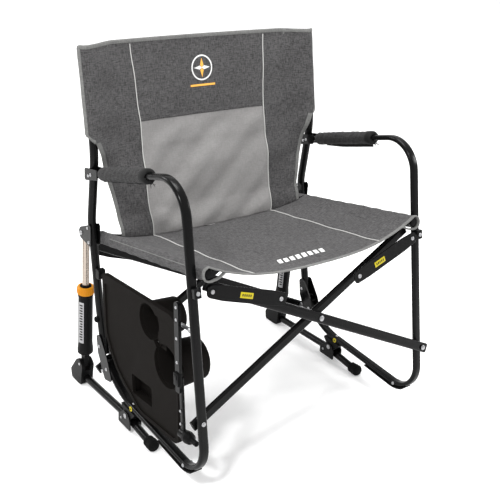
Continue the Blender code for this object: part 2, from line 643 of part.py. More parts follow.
def seat_sling(rise):
    """The seat: a sagging sheet whose two edges wrap the rails in deep hems."""
    wrap = 0.0161
    hem = [Vector((RAIL_X - 0.052, rise - 0.0140)), Vector((RAIL_X - 0.026, rise - 0.0165))]
    for index in range(8):
        angle = math.radians(-100 + 27 * index)
        hem.append(Vector((RAIL_X + wrap * math.cos(angle), rise + wrap * math.sin(angle))))
    top = hem[-1]
    spans = 8
    sheet = [top]
    for index in range(1, spans + 1):
        x = top.x * (1 - index / spans)
        sheet.append(Vector((x, top.y - SEAT_SAG * (1 - (x / top.x) ** 2))))
    pivot = fold_point(-RAIL_X, 0, rise)

    def on_fold(u, v, h):
        return fold_point(u, h, v)

    hems = thick_outline(mirrored_line(hem + sheet[1:]), SLING / 2)
    hemmed = prism(hems, on_fold, 0.0214, SEAT_END)
    sling = finish_object("seat_sling", hemmed, "heather_fabric", pivot, smooth=50)
    bare = thick_outline(mirrored_line(sheet), SLING / 2 - 0.0003)
    open_front = prism(bare, on_fold, SEAT_FRONT, SEAT_END - 0.02)
    combine(sling, finish_object("seat_front", open_front, "heather_fabric", smooth=50), 'UNION')


def links():
    """Flat stay links from each leg bracket to the crossed tube that passes it."""
    for side, sign in (("right", -1), ("left", 1)):
        pivot = fold_point(LINK_PIVOT[0] * sign, 0, LINK_PIVOT[1])
        for place, along in (("front", FRONT_LINK), ("rear", REAR_LINK)):
            near = fold_point(LINK_PIVOT[0] * sign, along, LINK_PIVOT[1])
            far = fold_point(LINK_PIN[0] * sign, along, LINK_PIN[1])
            way = (far - near).normalized()
            outline = closed_outline([(-0.013, -0.0125), (0.030, -0.0165), (0.150, -0.0165),
                                      (0.193, -0.0140), (0.193, 0.0140), (0.150, 0.0165),
                                      (0.030, 0.0165), (-0.013, 0.0125)],
                                     [0.012, 0.02, 0.02, 0.008, 0.008, 0.02, 0.02, 0.012])
            normal = way.cross(FOLD_AXIS)

            def place_link(u, v, h, near=near, way=way, normal=normal):
                return near + way * u + normal * v + FOLD_AXIS * h

            body = prism(outline, place_link, -0.0016, 0.0016)
            finish_object(f"link_{place}_{side}", body, "black_tube", pivot)


# ---------------------------------------------------------------- back sling
def back_sling():
    """The back: a sheet hung between the posts, with hems round them at the top."""
    top_z, hem_z, low_z = 0.8600, 0.6680, 0.4150
    lean = 0.2096
    hem_radius = POST_RADIUS + GAP + 0.0033
    bow = 0.012

    def sheet_y(z, share):
        flat = 0.1630 + lean * (z - low_z)
        back = post_y(z) + hem_radius
        if z < 0.610:
            return flat + bow * (1 - share * share)
        return back + bow * (1 - share * share)

    edges = ((low_z, 0.266), (0.47, 0.270), (0.53, 0.276), (0.60, 0.297), (0.645, 0.308),
             (0.660, 0.3105), (0.690, 0.3105))
    spans = 6
    rings = []
    for z, edge in edges:
        shares = [index / spans - 1 for index in range(2 * spans + 1)]
        line = [Vector((edge * share, sheet_y(z, share))) for share in shares]
        rings.append([Vector((*point, z)) for point in thick_outline(line, SLING / 2 - 0.0003)])
    lower = finish_object("back_sling", loft(rings), "heather_fabric", (-BASE_X, *ROCK_AXIS), smooth=50)

    rings = []
    for z in (hem_z, 0.74, 0.80, top_z):
        y = post_y(z)
        right = []
        for index in range(8):
            angle = math.radians(-162 + 36 * index)
            right.append(Vector((POST_X + hem_radius * math.cos(angle),
                                 y + hem_radius * math.sin(angle))))
        edge = right[-1].x
        for index in range(1, spans + 1):
            share = 1 - index / spans
            right.append(Vector((edge * share, sheet_y(z, share))))
        rings.append([Vector((*point, z)) for point in thick_outline(mirrored_line(right), SLING / 2)])
    hems = finish_object("back_hems", loft(rings), "heather_fabric", smooth=50)
    combine(lower, hems, 'UNION')


# ---------------------------------------------------------------- side table
def side_table():
    """The table panel with its cut-outs, hinge ends and two cup wells."""
    pivot = table_point(TABLE_X, 0, HINGE_DROP)
    outline = closed_outline([(0.000, 0.000), (0.325, 0.000), (0.322, 0.300), (0.155, 0.298),
                              (0.045, 0.228), (0.000, 0.150)],
                             [0.010, 0.035, 0.018, 0.050, 0.150, 0.060], math.radians(12))

    def on_table(u, v, h):
        return table_point(TABLE_X + h, u, v)

    slab = prism(outline, on_table, -TABLE_THICK / 2, TABLE_THICK / 2)
    panel = finish_object("table_top", slab, "table_plastic", pivot)
    recess_outline = closed_outline([(0.010, 0.022), (0.315, 0.022), (0.312, 0.290), (0.158, 0.288),
                                     (0.052, 0.222), (0.010, 0.148)],
                                    [0.006, 0.028, 0.012, 0.045, 0.140, 0.052], math.radians(15))
    recess = prism(recess_outline, on_table, -TABLE_THICK / 2 - 0.004, -TABLE_THICK / 2 + 0.0035)
    combine(panel, finish_object("table_recess", recess, "table_plastic"), 'DIFFERENCE')

    small, large = Vector(SMALL_CUP[:2]), Vector(LARGE_CUP[:2])
    away = TABLE_THICK
    for label, spot, radius in (("small", small, SMALL_CUP[2]), ("large", large, LARGE_CUP[2])):
        start, end = on_table(*spot, -away), on_table(*spot, away)
        combine(panel, guide_cylinder(f"table_{label}_hole", start, end, radius, 32), 'DIFFERENCE')
    neck_way = (large - small).normalized()
    side_way = Vector((-neck_way.y, neck_way.x))
    neck = [small + neck_way * 0.03 + side_way * 0.011, large - neck_way * 0.03 + side_way * 0.011,
            large - neck_way * 0.03 - side_way * 0.011, small + neck_way * 0.03 - side_way * 0.011]
    combine(panel, finish_object("table_neck", prism(neck, on_table, -away, away), "zinc"), 'DIFFERENCE')
    along, down, length, width = PHONE_SLOT
    low, high = along - length / 2, along + length / 2
    near, far = down - width / 2, down + width / 2
    slot = closed_outline([(low, near), (high, near), (high, far), (low, far)], [0.004] * 4,
                          math.radians(45))
    combine(panel, finish_object("table_slot", prism(slot, on_table, -away, away), "zinc"), 'DIFFERENCE')
    for label, low, high in (("rear", -0.02, 0.014), ("front", 0.310, 0.345)):
        start = table_point(TABLE_X, low, HINGE_DROP)
        end = table_point(TABLE_X, high, HINGE_DROP)
        combine(panel, guide_cylinder(f"table_{label}_bore", start, end, 0.0046, 16), 'DIFFERENCE')

    for label, (along, down, radius, depth) in (("small", SMALL_CUP), ("large", LARGE_CUP)):
        start = table_point(TABLE_X + TABLE_THICK / 2 + GAP, along, down)
        floor = radius * 0.90
        profile = [(0, radius + 0.0060), (0.0022, radius + 0.0060), (0.0022, radius + CUP_WALL - 0.0005),
                   (depth - 0.004, floor + CUP_WALL), (depth, floor - 0.002), (depth, 0.004),
                   (depth - CUP_WALL, 0.004), (depth - CUP_WALL, floor - 0.003),
                   (depth - 0.006, floor), (0, radius - 0.0005)]
        cup = turned(start, X_AXIS, profile, 22, closed=True)
        finish_object(f"cup_{label}", cup, "table_plastic", pivot)

    hinge_mounts()
    stay()


def hinge_mounts():
    """Front pin and rear holder on the side frame that carry the table."""
    pivot = (-BASE_X, *ROCK_AXIS)
    front_pin, rear_pin = 0.0632, 0.0260
    front = [(0, 0.0030), (0.001, 0.0040), (front_pin - 0.012, 0.0040),
             (front_pin - 0.012, 0.0060), (front_pin, 0.0060)]
    front_start = table_point(TABLE_X, 0.3150, HINGE_DROP)
    finish_object("table_pin", turned(front_start, TABLE_FRONT, front, 14), "zinc", pivot)

    z = table_point(0, -0.012, HINGE_DROP).z
    post_face = post_y(z) - POST_RADIUS - GAP - 0.0030
    outline = closed_outline([(post_face - 0.0160, z - 0.012), (post_face, z - 0.012),
                              (post_face, z + 0.012), (post_face - 0.0160, z + 0.012)], [0.003] * 4)
    holder_body = prism(outline, lambda u, v, h: Vector((TABLE_X + h, u, v)), -0.009, 0.009)
    holder = finish_object("table_holder", holder_body, "black_plastic", pivot)
    rear = [(0, 0.0030), (0.001, 0.0040), (rear_pin, 0.0040)]
    rear_body = turned(table_point(TABLE_X, 0.0115, HINGE_DROP), -TABLE_FRONT, rear, 14)
    combine(holder, finish_object("table_rear_pin", rear_body, "black_plastic"), 'UNION')


def stay():
    """The support stay that swings out under the open table."""
    top, low = STAY_SPAN
    hinge = table_point(-0.3180, STAY_ALONG, low)
    bar_low = table_point(STAY_X, STAY_ALONG, low - 0.100)
    bar_top = table_point(STAY_X, STAY_ALONG, top)
    outline = closed_outline([(-0.0080, 0), (0.0080, 0), (0.0080, 0.2050), (-0.0080, 0.2050)],
                             [0.0075, 0.0075, 0.003, 0.003])
    flat = prism(outline, lambda u, v, h: bar_top + TABLE_FRONT * u + TABLE_DOWN * v + X_AXIS * h,
                 -0.0036, 0.0036)
    start = bar_low + X_AXIS * 0.0060 - TABLE_DOWN * 0.035
    tube_low = hinge - TABLE_DOWN * 0.0085
    tube = straight_bar(start, tube_low, TABLE_FRONT, 0.0135, 0.0080, 12)
    lower = finish_object("table_stay", tube, "black_tube", hinge)
    combine(lower, finish_object("stay_bar", flat, "black_tube"), 'UNION')
    half, eye_radius = 0.0075, 0.0110
    eye_profile = [(-half, 0.002), (-half, eye_radius), (half, eye_radius), (half, 0.002)]
    eye = turned(hinge, TABLE_FRONT, eye_profile, 18)
    combine(lower, finish_object("stay_eye", eye, "black_tube"), 'UNION')
    reach = TABLE_FRONT * 0.03
    bore = guide_cylinder("stay_bore", hinge - reach, hinge + reach, 0.0052, 16)
    combine(lower, bore, 'DIFFERENCE')

    profile = [(0, 0.0030), (0.001, 0.0085), (0.004, 0.0085), (0.004, 0.0046), (0.0202, 0.0046),
               (0.0202, 0.0125), (0.0300, 0.0140), (0.0420, 0.0120), (0.0460, 0.0060),
               (0.0640, 0.0060)]
    mount = turned(hinge - TABLE_FRONT * 0.0120, TABLE_FRONT, profile, 18)
    finish_object("stay_mount", mount, "black_plastic", (-BASE_X, *ROCK_AXIS))


clear_scene()
MATERIALS = make_materials()
for SIDE, SIGN in (("right", -1), ("left", 1)):
    side_frame(SIDE, SIGN)
    ground_base(SIDE, SIGN)
    spring_strut(SIDE, SIGN)
crossed_tubes()
seat_rails()
links()
back_sling()
side_table()
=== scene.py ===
import json
import math

import bmesh
import bpy
from mathutils import Matrix, Vector, noise

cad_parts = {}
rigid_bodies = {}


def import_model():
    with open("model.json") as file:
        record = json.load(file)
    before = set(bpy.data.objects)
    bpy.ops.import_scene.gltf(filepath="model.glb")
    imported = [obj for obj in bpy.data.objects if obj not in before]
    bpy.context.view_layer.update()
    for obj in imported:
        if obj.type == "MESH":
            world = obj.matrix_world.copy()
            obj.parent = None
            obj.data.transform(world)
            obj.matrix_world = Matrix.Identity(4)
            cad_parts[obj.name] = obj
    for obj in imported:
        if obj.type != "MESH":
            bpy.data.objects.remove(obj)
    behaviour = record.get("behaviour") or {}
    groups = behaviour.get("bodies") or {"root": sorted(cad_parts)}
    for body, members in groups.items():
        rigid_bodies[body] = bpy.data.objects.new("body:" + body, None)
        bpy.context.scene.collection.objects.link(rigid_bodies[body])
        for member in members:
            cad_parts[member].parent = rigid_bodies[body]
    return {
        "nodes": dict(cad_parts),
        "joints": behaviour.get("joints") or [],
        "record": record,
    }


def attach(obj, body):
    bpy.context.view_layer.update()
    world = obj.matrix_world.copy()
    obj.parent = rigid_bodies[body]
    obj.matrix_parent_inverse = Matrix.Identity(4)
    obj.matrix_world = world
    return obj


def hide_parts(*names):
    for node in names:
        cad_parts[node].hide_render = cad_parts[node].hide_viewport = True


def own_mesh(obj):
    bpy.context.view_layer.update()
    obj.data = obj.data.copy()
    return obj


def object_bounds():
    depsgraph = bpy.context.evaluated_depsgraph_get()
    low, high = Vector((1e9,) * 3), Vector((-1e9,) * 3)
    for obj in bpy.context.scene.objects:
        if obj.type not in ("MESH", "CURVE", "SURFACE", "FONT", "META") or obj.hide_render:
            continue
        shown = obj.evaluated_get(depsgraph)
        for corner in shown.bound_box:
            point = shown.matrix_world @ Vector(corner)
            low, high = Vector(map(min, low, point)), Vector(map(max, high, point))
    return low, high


for start_object in list(bpy.data.objects):
    bpy.data.objects.remove(start_object, do_unlink=True)

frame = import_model()
CAD_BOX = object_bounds()
NODES = frame["nodes"]
JOINTS = {joint["name"]: joint for joint in frame["joints"]}
BODY_OF = {node: body for body, nodes in frame["record"]["behaviour"]["bodies"].items() for node in nodes}
SLOT_OF = {part["node"]: part["material_slot"] for part in frame["record"]["subparts"]}

X_AXIS, Z_AXIS = Vector((1, 0, 0)), Vector((0, 0, 1))
SIDES = (("right", -1), ("left", 1))  # the sitter's sides, with the sign of their x


# ---------------- places read from the frame
def joint_point(name):
    return Vector(JOINTS[name]["pos_m"])


FOLD_AXIS = -Vector(JOINTS["fold"]["axis"])
LEG_UP = Vector((0, -FOLD_AXIS.z, FOLD_AXIS.y))
FOOT = joint_point("fold")  # between the two front feet, once x is cleared
SIDE_X = abs(FOOT.x)
FOOT.x = 0
RAIL_X = joint_point("left_rail_turn").x
RISE = (joint_point("left_rail_turn") - FOOT).dot(LEG_UP)
TABLE_HINGE = joint_point("table_swing")
TABLE_FRONT = -Vector(JOINTS["table_swing"]["axis"])
TABLE_DOWN = TABLE_FRONT.cross(X_AXIS).normalized()
if TABLE_DOWN.z > 0:
    TABLE_DOWN = -TABLE_DOWN
TABLE_AXES = (TABLE_FRONT, TABLE_DOWN, X_AXIS)
STRUT_LOW = joint_point("right_strut_tilt")
STRUT_WAY = Vector(JOINTS["right_strut_stroke"]["axis"]).normalized()
HINGE_DROP = 0.01  # the table's hinge below its top edge
# the back post's corners from bottom to top, as (y, z), and the radius of each bend
POST_LINE = [(0.1445, 0.14), (0.1725, 0.256), (0.2095, 0.4627), (0.193, 0.625), (0.241, 0.8655)]
POST_BENDS = [0, 0.3, 0.1, 0.25, 0]
TOP_Z = CAD_BOX[1].z + 0.005
LINK_HEAD = joint_point("left_links_turn") - FOOT
LINK_HEAD = Vector((LINK_HEAD.x, LINK_HEAD.dot(LEG_UP)))
LINK_FAR = LINK_HEAD - Vector((0.1696, 0.0545))
ARM_REAR = (0.1835, 0.5849)  # the loop's end at the back of the arm, as (y, z)
ARM_UP, TOE_DOWN = 0.5128, 0.1394  # the loop's arm and toe corners, along the leg from the foot


def fold_point(x, along, up):
    return FOOT + X_AXIS * x + FOLD_AXIS * along + LEG_UP * up


def table_point(x, along, down):
    """Along the stowed table's top edge from its rear end, and down from that edge."""
    hinge = Vector((x, TABLE_HINGE.y, TABLE_HINGE.z))
    return hinge + TABLE_FRONT * along + TABLE_DOWN * (down - HINGE_DROP)


def ease(value, low, high):
    """A smooth share from 0 at low to 1 at high."""
    share = min(1, max(0, (value - low) / (high - low)))
    return share * share * (3 - 2 * share)


def steps(low, high, count):
    return [low + (high - low) * k / count for k in range(count + 1)]


def runs(ends, counts):
    """Steps through several stretches in a row."""
    made = [ends[0]]
    for low, high, count in zip(ends, ends[1:], counts):
        made += steps(low, high, count)[1:]
    return made


def between(value, pairs):
    """Piecewise-linear reading of (position, value) pairs."""
    if value <= pairs[0][0]:
        return pairs[0][1]
    for (a, first), (b, second) in zip(pairs, pairs[1:]):
        if value <= b:
            return first + (second - first) * (value - a) / (b - a)
    return pairs[-1][1]


def post_y(z):
    return between(z, [(height, y) for y, height in POST_LINE])


# ---------------- materials
def new_material(name, colour, roughness, metallic=0.0, sheen=0.0, specular=0.5):
    made = bpy.data.materials.new(name)
    made.use_nodes = True
    shader = made.node_tree.nodes["Principled BSDF"]
    shader.inputs["Base Color"].default_value = (*colour, 1)
    shader.inputs["Roughness"].default_value = roughness
    shader.inputs["Metallic"].default_value = metallic
    shader.inputs["Sheen Weight"].default_value = sheen
    shader.inputs["Specular IOR Level"].default_value = specular
    return made, made.node_tree, shader


def texture(tree, kind, scale, source="Object", stretch=(1, 1, 1), detail=2.0):
    """A texture node in the piece's own coordinates."""
    place = tree.nodes.new("ShaderNodeTexCoord")
    mapping = tree.nodes.new("ShaderNodeMapping")
    mapping.inputs["Scale"].default_value = [scale * part for part in stretch]
    tree.links.new(place.outputs[source], mapping.inputs["Vector"])
    made = tree.nodes.new(kind)
    made.inputs["Scale"].default_value = 1.0
    if "Detail" in made.inputs:
        made.inputs["Detail"].default_value = detail
    tree.links.new(mapping.outputs["Vector"], made.inputs["Vector"])
    return made


def spread(tree, value, low, high, colours):
    ramp = tree.nodes.new("ShaderNodeValToRGB")
    ramp.color_ramp.elements[0].position, ramp.color_ramp.elements[1].position = low, high
    ramp.color_ramp.elements[0].color = (*colours[0], 1)
    ramp.color_ramp.elements[1].color = (*colours[1], 1)
    tree.links.new(value, ramp.inputs["Fac"])
    return ramp.outputs["Color"]


def multiplied(tree, first, second):
    """One colour multiplied by another."""
    node = tree.nodes.new("ShaderNodeMix")
    node.data_type, node.blend_type = "RGBA", "MULTIPLY"
    node.inputs["Factor"].default_value = 1
    tree.links.new(first, node.inputs[6])
    tree.links.new(second, node.inputs[7])
    return node.outputs[2]


def combined(tree, operation, *values):
    """A math node over numbers or sockets."""
    node = tree.nodes.new("ShaderNodeMath")
    node.operation = operation
    for socket, value in zip(node.inputs, values):
        if isinstance(value, (int, float)):
            socket.default_value = value
        else:
            tree.links.new(value, socket)
    return node.outputs[0]


def raised(tree, shader, height, distance):
    bump = tree.nodes.new("ShaderNodeBump")
    bump.inputs["Distance"].default_value = distance
    bump.inputs["Strength"].default_value = 1.0
    tree.links.new(height, bump.inputs["Height"])
    tree.links.new(bump.outputs["Normal"], shader.inputs["Normal"])


def coating(name, colour, roughness, grain, depth, wear=(0.06, 0.06, 0.06), **more):
    """Paint, plastic or rubber: fine grain, uneven gloss and slightly rubbed patches."""
    made, tree, shader = new_material(name, colour, roughness, **more)
    fine = texture(tree, "ShaderNodeTexNoise", grain, detail=3)
    broad = texture(tree, "ShaderNodeTexNoise", 14, detail=4)
    rubbed = spread(tree, broad.outputs["Fac"], 0.56, 0.8, (colour, wear))
    speck = spread(tree, fine.outputs["Fac"], 0.3, 0.7, ((0.88, 0.88, 0.88), (1.12, 1.12, 1.12)))
    tree.links.new(multiplied(tree, rubbed, speck), shader.inputs["Base Color"])
    gloss = combined(tree, "MULTIPLY_ADD", broad.outputs["Fac"], 0.16, roughness - 0.08)
    tree.links.new(gloss, shader.inputs["Roughness"])
    raised(tree, shader, fine.outputs["Fac"], depth)
    return made


def metal(name, colour, roughness, stretch):
    """Bare metal with fine lines along its stretch."""
    made, tree, shader = new_material(name, colour, roughness, metallic=1.0)
    lines = texture(tree, "ShaderNodeTexNoise", 500, stretch=stretch, detail=3)
    tone = spread(tree, lines.outputs["Fac"], 0.3, 0.75, (tuple(c * 0.75 for c in colour), colour))
    tree.links.new(tone, shader.inputs["Base Color"])
    gloss = combined(tree, "MULTIPLY_ADD", lines.outputs["Fac"], 0.2, roughness - 0.1)
    tree.links.new(gloss, shader.inputs["Roughness"])
    raised(tree, shader, lines.outputs["Fac"], 0.00006)
    return made


def cloth(name, dark, light, pitch, fleck=1.0, sheen=0.2):
    """Plain weave: heather flecks along both yarn ways, slow tone changes and fine raised yarns."""
    made, tree, shader = new_material(name, light, 0.88, sheen=sheen, specular=0.25)
    shader.inputs["Sheen Roughness"].default_value = 0.6
    flecks = 0
    for stretch in ((130, 900, 130), (900, 130, 900), (60, 380, 60), (380, 60, 380)):
        yarns = texture(tree, "ShaderNodeTexNoise", 1, "UV", stretch)
        flecks = combined(tree, "ADD", flecks, yarns.outputs["Fac"])
    flecks = combined(tree, "MULTIPLY", flecks, 1 / 4)
    half = 0.075 / fleck
    yarn = spread(tree, flecks, 0.5 - half, 0.5 + half, (dark, light))
    slow = texture(tree, "ShaderNodeTexNoise", 7, "UV", detail=4)
    tone = spread(tree, slow.outputs["Fac"], 0.3, 0.7, ((0.9, 0.9, 0.9), (1.06, 1.06, 1.06)))
    tree.links.new(multiplied(tree, yarn, tone), shader.inputs["Base Color"])
    place = tree.nodes.new("ShaderNodeTexCoord")
    parts = tree.nodes.new("ShaderNodeSeparateXYZ")
    tree.links.new(place.outputs["UV"], parts.inputs[0])
    turns = 2 * math.pi / pitch
    across = combined(tree, "SINE", combined(tree, "MULTIPLY", parts.outputs["X"], turns))
    down = combined(tree, "SINE", combined(tree, "MULTIPLY", parts.outputs["Y"], turns))
    weave = combined(tree, "MULTIPLY", across, down)
    height = combined(tree, "ADD", combined(tree, "MULTIPLY", weave, 0.4), flecks)
    raised(tree, shader, height, 0.00035)
    return made


MATERIALS = {
    "black_tube": coating("black_tube_finish", (0.003, 0.003, 0.0031), 0.24, 900, 0.00003,
                          (0.0045, 0.0045, 0.0045), specular=0.12),
    "black_plastic": coating("black_plastic_finish", (0.004, 0.004, 0.0041), 0.42, 1400, 0.00006,
                             (0.006, 0.006, 0.006), specular=0.07),
    "table_plastic": coating("table_plastic_finish", (0.0088, 0.0078, 0.0071), 0.6, 1100, 0.00006,
                             (0.0104, 0.0094, 0.0086), specular=0.015),
    "rubber": coating("rubber_finish", (0.004, 0.004, 0.004), 0.7, 700, 0.00008,
                      (0.008, 0.008, 0.0078), specular=0.06),
    "zinc": metal("zinc_finish", (0.4, 0.4, 0.41), 0.3, (1, 1, 1)),
    "rod_steel": metal("rod_steel_finish", (0.42, 0.36, 0.31), 0.26, (0.2, 0.2, 3)),
    "amber_plastic": coating("amber_plastic_finish", (0.52, 0.2, 0.004), 0.42, 900, 0.00008,
                             (0.58, 0.24, 0.01), specular=0.15),
}
HEATHER = cloth("heather_weave", (0.031, 0.03, 0.0305), (0.098, 0.0955, 0.0965), 0.0011, sheen=0.03)
PANEL = cloth("panel_weave", (0.215, 0.209, 0.206), (0.285, 0.278, 0.273), 0.0008, 0.6, sheen=0.04)
PAD = cloth("pad_weave", (0.011, 0.0106, 0.0108), (0.04, 0.039, 0.0395), 0.0011, sheen=0.02)
BINDING = cloth("binding_weave", (0.105, 0.105, 0.102), (0.185, 0.186, 0.18), 0.0014, 0.7, sheen=0.04)
DARK_WEB = cloth("dark_webbing", (0.004, 0.004, 0.004), (0.012, 0.012, 0.012), 0.0016, 0.8, sheen=0.0)
PIPING = cloth("piping_weave", (0.42, 0.42, 0.41), (0.58, 0.58, 0.56), 0.001, 0.8, sheen=0.0)
THREAD = coating("stitch_thread", (0.075, 0.075, 0.075), 0.7, 2500, 0.00005,
                 (0.1, 0.1, 0.1), specular=0.1)
WHITE_PRINT = coating("white_print", (0.74, 0.74, 0.73), 0.6, 1800, 0.00005, (0.66, 0.66, 0.65))
AMBER_PRINT = coating("amber_print", (0.85, 0.42, 0.06), 0.6, 1800, 0.00005, (0.78, 0.38, 0.06))
YELLOW_FILM = coating("yellow_film", (0.46, 0.38, 0.012), 0.35, 1200, 0.00003,
                      (0.4, 0.33, 0.015), specular=0.2)
PALE_FILM = coating("pale_film", (0.36, 0.36, 0.37), 0.4, 1500, 0.00003, (0.3, 0.3, 0.31), specular=0.2)
DARK_FILM = coating("dark_film", (0.02, 0.019, 0.015), 0.4, 1500, 0.00003,
                    (0.03, 0.03, 0.03), specular=0.1)


# ---------------- mesh helpers
def add_object(name, mesh, materials, body, slot=None, smooth=40):
    mesh.shade_smooth()
    mesh.set_sharp_from_angle(angle=math.radians(smooth))
    for one in materials:
        mesh.materials.append(one)
    made = bpy.data.objects.new(name, mesh)
    bpy.context.collection.objects.link(made)
    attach(made, body)
    return made


def from_bmesh(name, body_mesh, materials, body, slot=None, smooth=40):
    bmesh.ops.recalc_face_normals(body_mesh, faces=body_mesh.faces)
    mesh = bpy.data.meshes.new(name)
    body_mesh.to_mesh(mesh)
    body_mesh.free()
    return add_object(name, mesh, materials, body, slot, smooth)


def loft_into(target, rings, caps=True, index=0):
    """Skin a list of rings; each ring is closed round."""
    rows = [[target.verts.new(point) for point in ring] for ring in rings]
    count = len(rows[0])
    for lower, upper in zip(rows, rows[1:]):
        for spot in range(count):
            after = (spot + 1) % count
            face = target.faces.new((lower[spot], lower[after], upper[after], upper[spot]))
            face.material_index = index
    if caps:
        target.faces.new(rows[0][::-1]).material_index = index
        target.faces.new(rows[-1]).material_index = index


def ring_of(centre, side, other, wide, tall, sides):
    """Points evenly round an ellipse."""
    turns = [2 * math.pi * k / sides for k in range(sides)]
    return [centre + side * (wide * math.cos(turn)) + other * (tall * math.sin(turn)) for turn in turns]


def way_at(points, spot):
    """The direction of a line of points at one of them."""
    return (points[min(spot + 1, len(points) - 1)] - points[max(spot - 1, 0)]).normalized()


def tube_into(target, points, radius, sides=8, index=0):
    """A round cord along points; its radius may be a function of the share of the way."""
    rings = []
    side = way_at(points, 0).orthogonal().normalized()
    for spot, point in enumerate(points):
        way = way_at(points, spot)
        side = (side - way * side.dot(way)).normalized()
        size = radius(spot / (len(points) - 1)) if callable(radius) else radius
        rings.append(ring_of(point, side, way.cross(side), size, size, sides))
    loft_into(target, rings, index=index)


def turned_into(target, start, axis, profile, sides=24, index=0):
    """A body of revolution from (distance, radius) pairs."""
    axis = axis.normalized()
    side = axis.orthogonal().normalized()
    other = axis.cross(side)
    rings = [ring_of(start + axis * distance, side, other, radius, radius, sides)
             for distance, radius in profile]
    loft_into(target, rings, index=index)


def rivet_into(target, spot, axis, radius):
    """A domed rivet head with a collar and a shallow dimple."""
    tall = radius * 0.55
    shape = ((0.25, 1.02), (0.62, 0.86), (0.93, 0.56), (1, 0.34), (0.86, 0.2), (0.84, 0.03))
    profile = [(-0.0004, radius * 1.02)] + [(tall * up, radius * out) for up, out in shape]
    turned_into(target, spot, axis, profile, 20)


def block_into(target, centre, size, axes, bevel=0.0006, index=0):
    """A softened block along its own three axes."""
    others = set(target.faces)
    verts = bmesh.ops.create_cube(target, size=1.0)["verts"]
    bmesh.ops.scale(target, vec=size, verts=verts)
    turn = Matrix([list(axis) for axis in axes]).transposed().to_4x4()
    bmesh.ops.transform(target, matrix=Matrix.Translation(centre) @ turn, verts=verts)
    edges = {edge for vert in verts for edge in vert.link_edges}
    bmesh.ops.bevel(target, geom=list(edges), offset=bevel, segments=2, profile=0.6, affect='EDGES')
    for face in target.faces:
        if face not in others:
            face.material_index = index


def rounded_path(corners, radii, step):
    """A flat path whose corners are arcs, with a point at every step of angle."""
    points = [Vector(corners[0])]
    for before, corner, after, radius in zip(corners, corners[1:], corners[2:], radii[1:]):
        here = Vector(corner)
        back, on = (Vector(before) - here).normalized(), (Vector(after) - here).normalized()
        half = back.angle(on) / 2
        centre = here + (back + on).normalized() * (radius / math.sin(half))
        start = here + back * (radius / math.tan(half)) - centre
        turn = math.pi - 2 * half
        sign = 1 if back.x * on.y - back.y * on.x < 0 else -1
        count = max(2, round(turn / step))
        for spot in range(count + 1):
            points.append(centre + Matrix.Rotation(sign * turn * spot / count, 2) @ start)
    points.append(Vector(corners[-1]))
    return points


def bent_tube(name, path, width, depth, plane_x, node):
    """A smooth bent tube in a plane of constant x, in place of its coarser CAD solid."""
    radius, sides = min(width, depth) / 2, 32
    points = [Vector((plane_x, y, z)) for y, z in path]
    rings = []
    for spot, point in enumerate(points):
        normal = way_at(points, spot).cross(X_AXIS)
        ring = []
        for k in range(sides):
            angle = 2 * math.pi * (k + 0.5) / sides
            across, deep = radius * math.cos(angle), radius * math.sin(angle)
            across += math.copysign((width - 2 * radius) / 2, across)
            ring.append(point + X_AXIS * across + normal * deep)
        rings.append(ring)
    closings = []
    for end, inner in ((0, 1), (-1, -2)):
        way = (points[end] - points[inner]).normalized()
        closings.append([points[end].lerp(point, 0.86) - way * 0.0012 for point in rings[end]])
    target = bmesh.new()
    loft_into(target, [closings[0]] + rings + [closings[1]])
    made = from_bmesh(name, target, [MATERIALS["black_tube"]], BODY_OF[node], SLOT_OF[node], 50)
    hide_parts(node)


def refined(node, bevel):
    """A welded copy of a CAD solid with small rounded edges and its finish."""
    target = bmesh.new()
    target.from_mesh(NODES[node].data)
    bmesh.ops.remove_doubles(target, verts=target.verts, dist=0.00001)
    bmesh.ops.dissolve_limit(target, angle_limit=math.radians(0.8), verts=target.verts, edges=target.edges)
    slot = SLOT_OF[node]
    made = from_bmesh(node + "_finished", target, [MATERIALS[slot]], BODY_OF[node], slot, 38)
    edge = made.modifiers.new("edges", 'BEVEL')
    edge.width, edge.segments, edge.limit_method = bevel, 2, 'ANGLE'
    edge.angle_limit = math.radians(36)
    edge.harden_normals = edge.use_clamp_overlap = True
    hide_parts(node)


# ---------------- rigid pieces
def rigid_pieces():
    """Smooth bent tubes, and a finished copy of every other hard solid."""
    arm_corner, toe_corner = fold_point(0, 0, ARM_UP), fold_point(0, 0, -TOE_DOWN)
    loop = rounded_path([ARM_REAR, (arm_corner.y, arm_corner.z), (toe_corner.y, toe_corner.z),
                         (0.07, 0.0725), (0.1245, 0.1255)], [0, 0.074, 0.066, 0.185, 0], math.radians(3.5))
    post = rounded_path(POST_LINE[:-1] + [(0.2376, 0.849)], POST_BENDS, math.radians(2.5))
    done = {"seat_sling", "back_sling", "arm_pad_right", "arm_pad_left"}
    for side, sign in SIDES:
        bent_tube(f"side_loop_{side}_tube", loop, 0.022, 0.0125, SIDE_X * sign, f"side_loop_{side}")
        bent_tube(f"back_post_{side}_tube", post, 0.02, 0.02, SIDE_X * sign, f"back_post_{side}")
        done |= {f"side_loop_{side}", f"back_post_{side}"}
    for node in NODES:
        if node not in done:
            small = any(word in node for word in ("bolt", "pin", "rod", "collar"))
            refined(node, 0.0004 if small else 0.0008)


# ---------------- cloth helpers
PIPE_SHARE = 0.6  # share of a sheet's half width, by columns, that lies inside the piping


def ripple(x, y, scale, size, seed=0.0):
    return size * noise.noise(Vector((x * scale + seed, y * scale - seed, seed)))


def lifted(base, field):
    """A surface function whose points are moved along their normals by a field plus a lift."""
    def place(u, v, lift=0.0):
        step = 0.0006
        du = base(u + step, v) - base(u - step, v)
        dv = base(u, v + step) - base(u, v - step)
        return base(u, v) + du.cross(dv).normalized() * (field(u, v) + lift)
    return place


def mirrored(half):
    """Columns on both sides of the middle, from those of one side."""
    return [-c for c in half[:0:-1]] + half


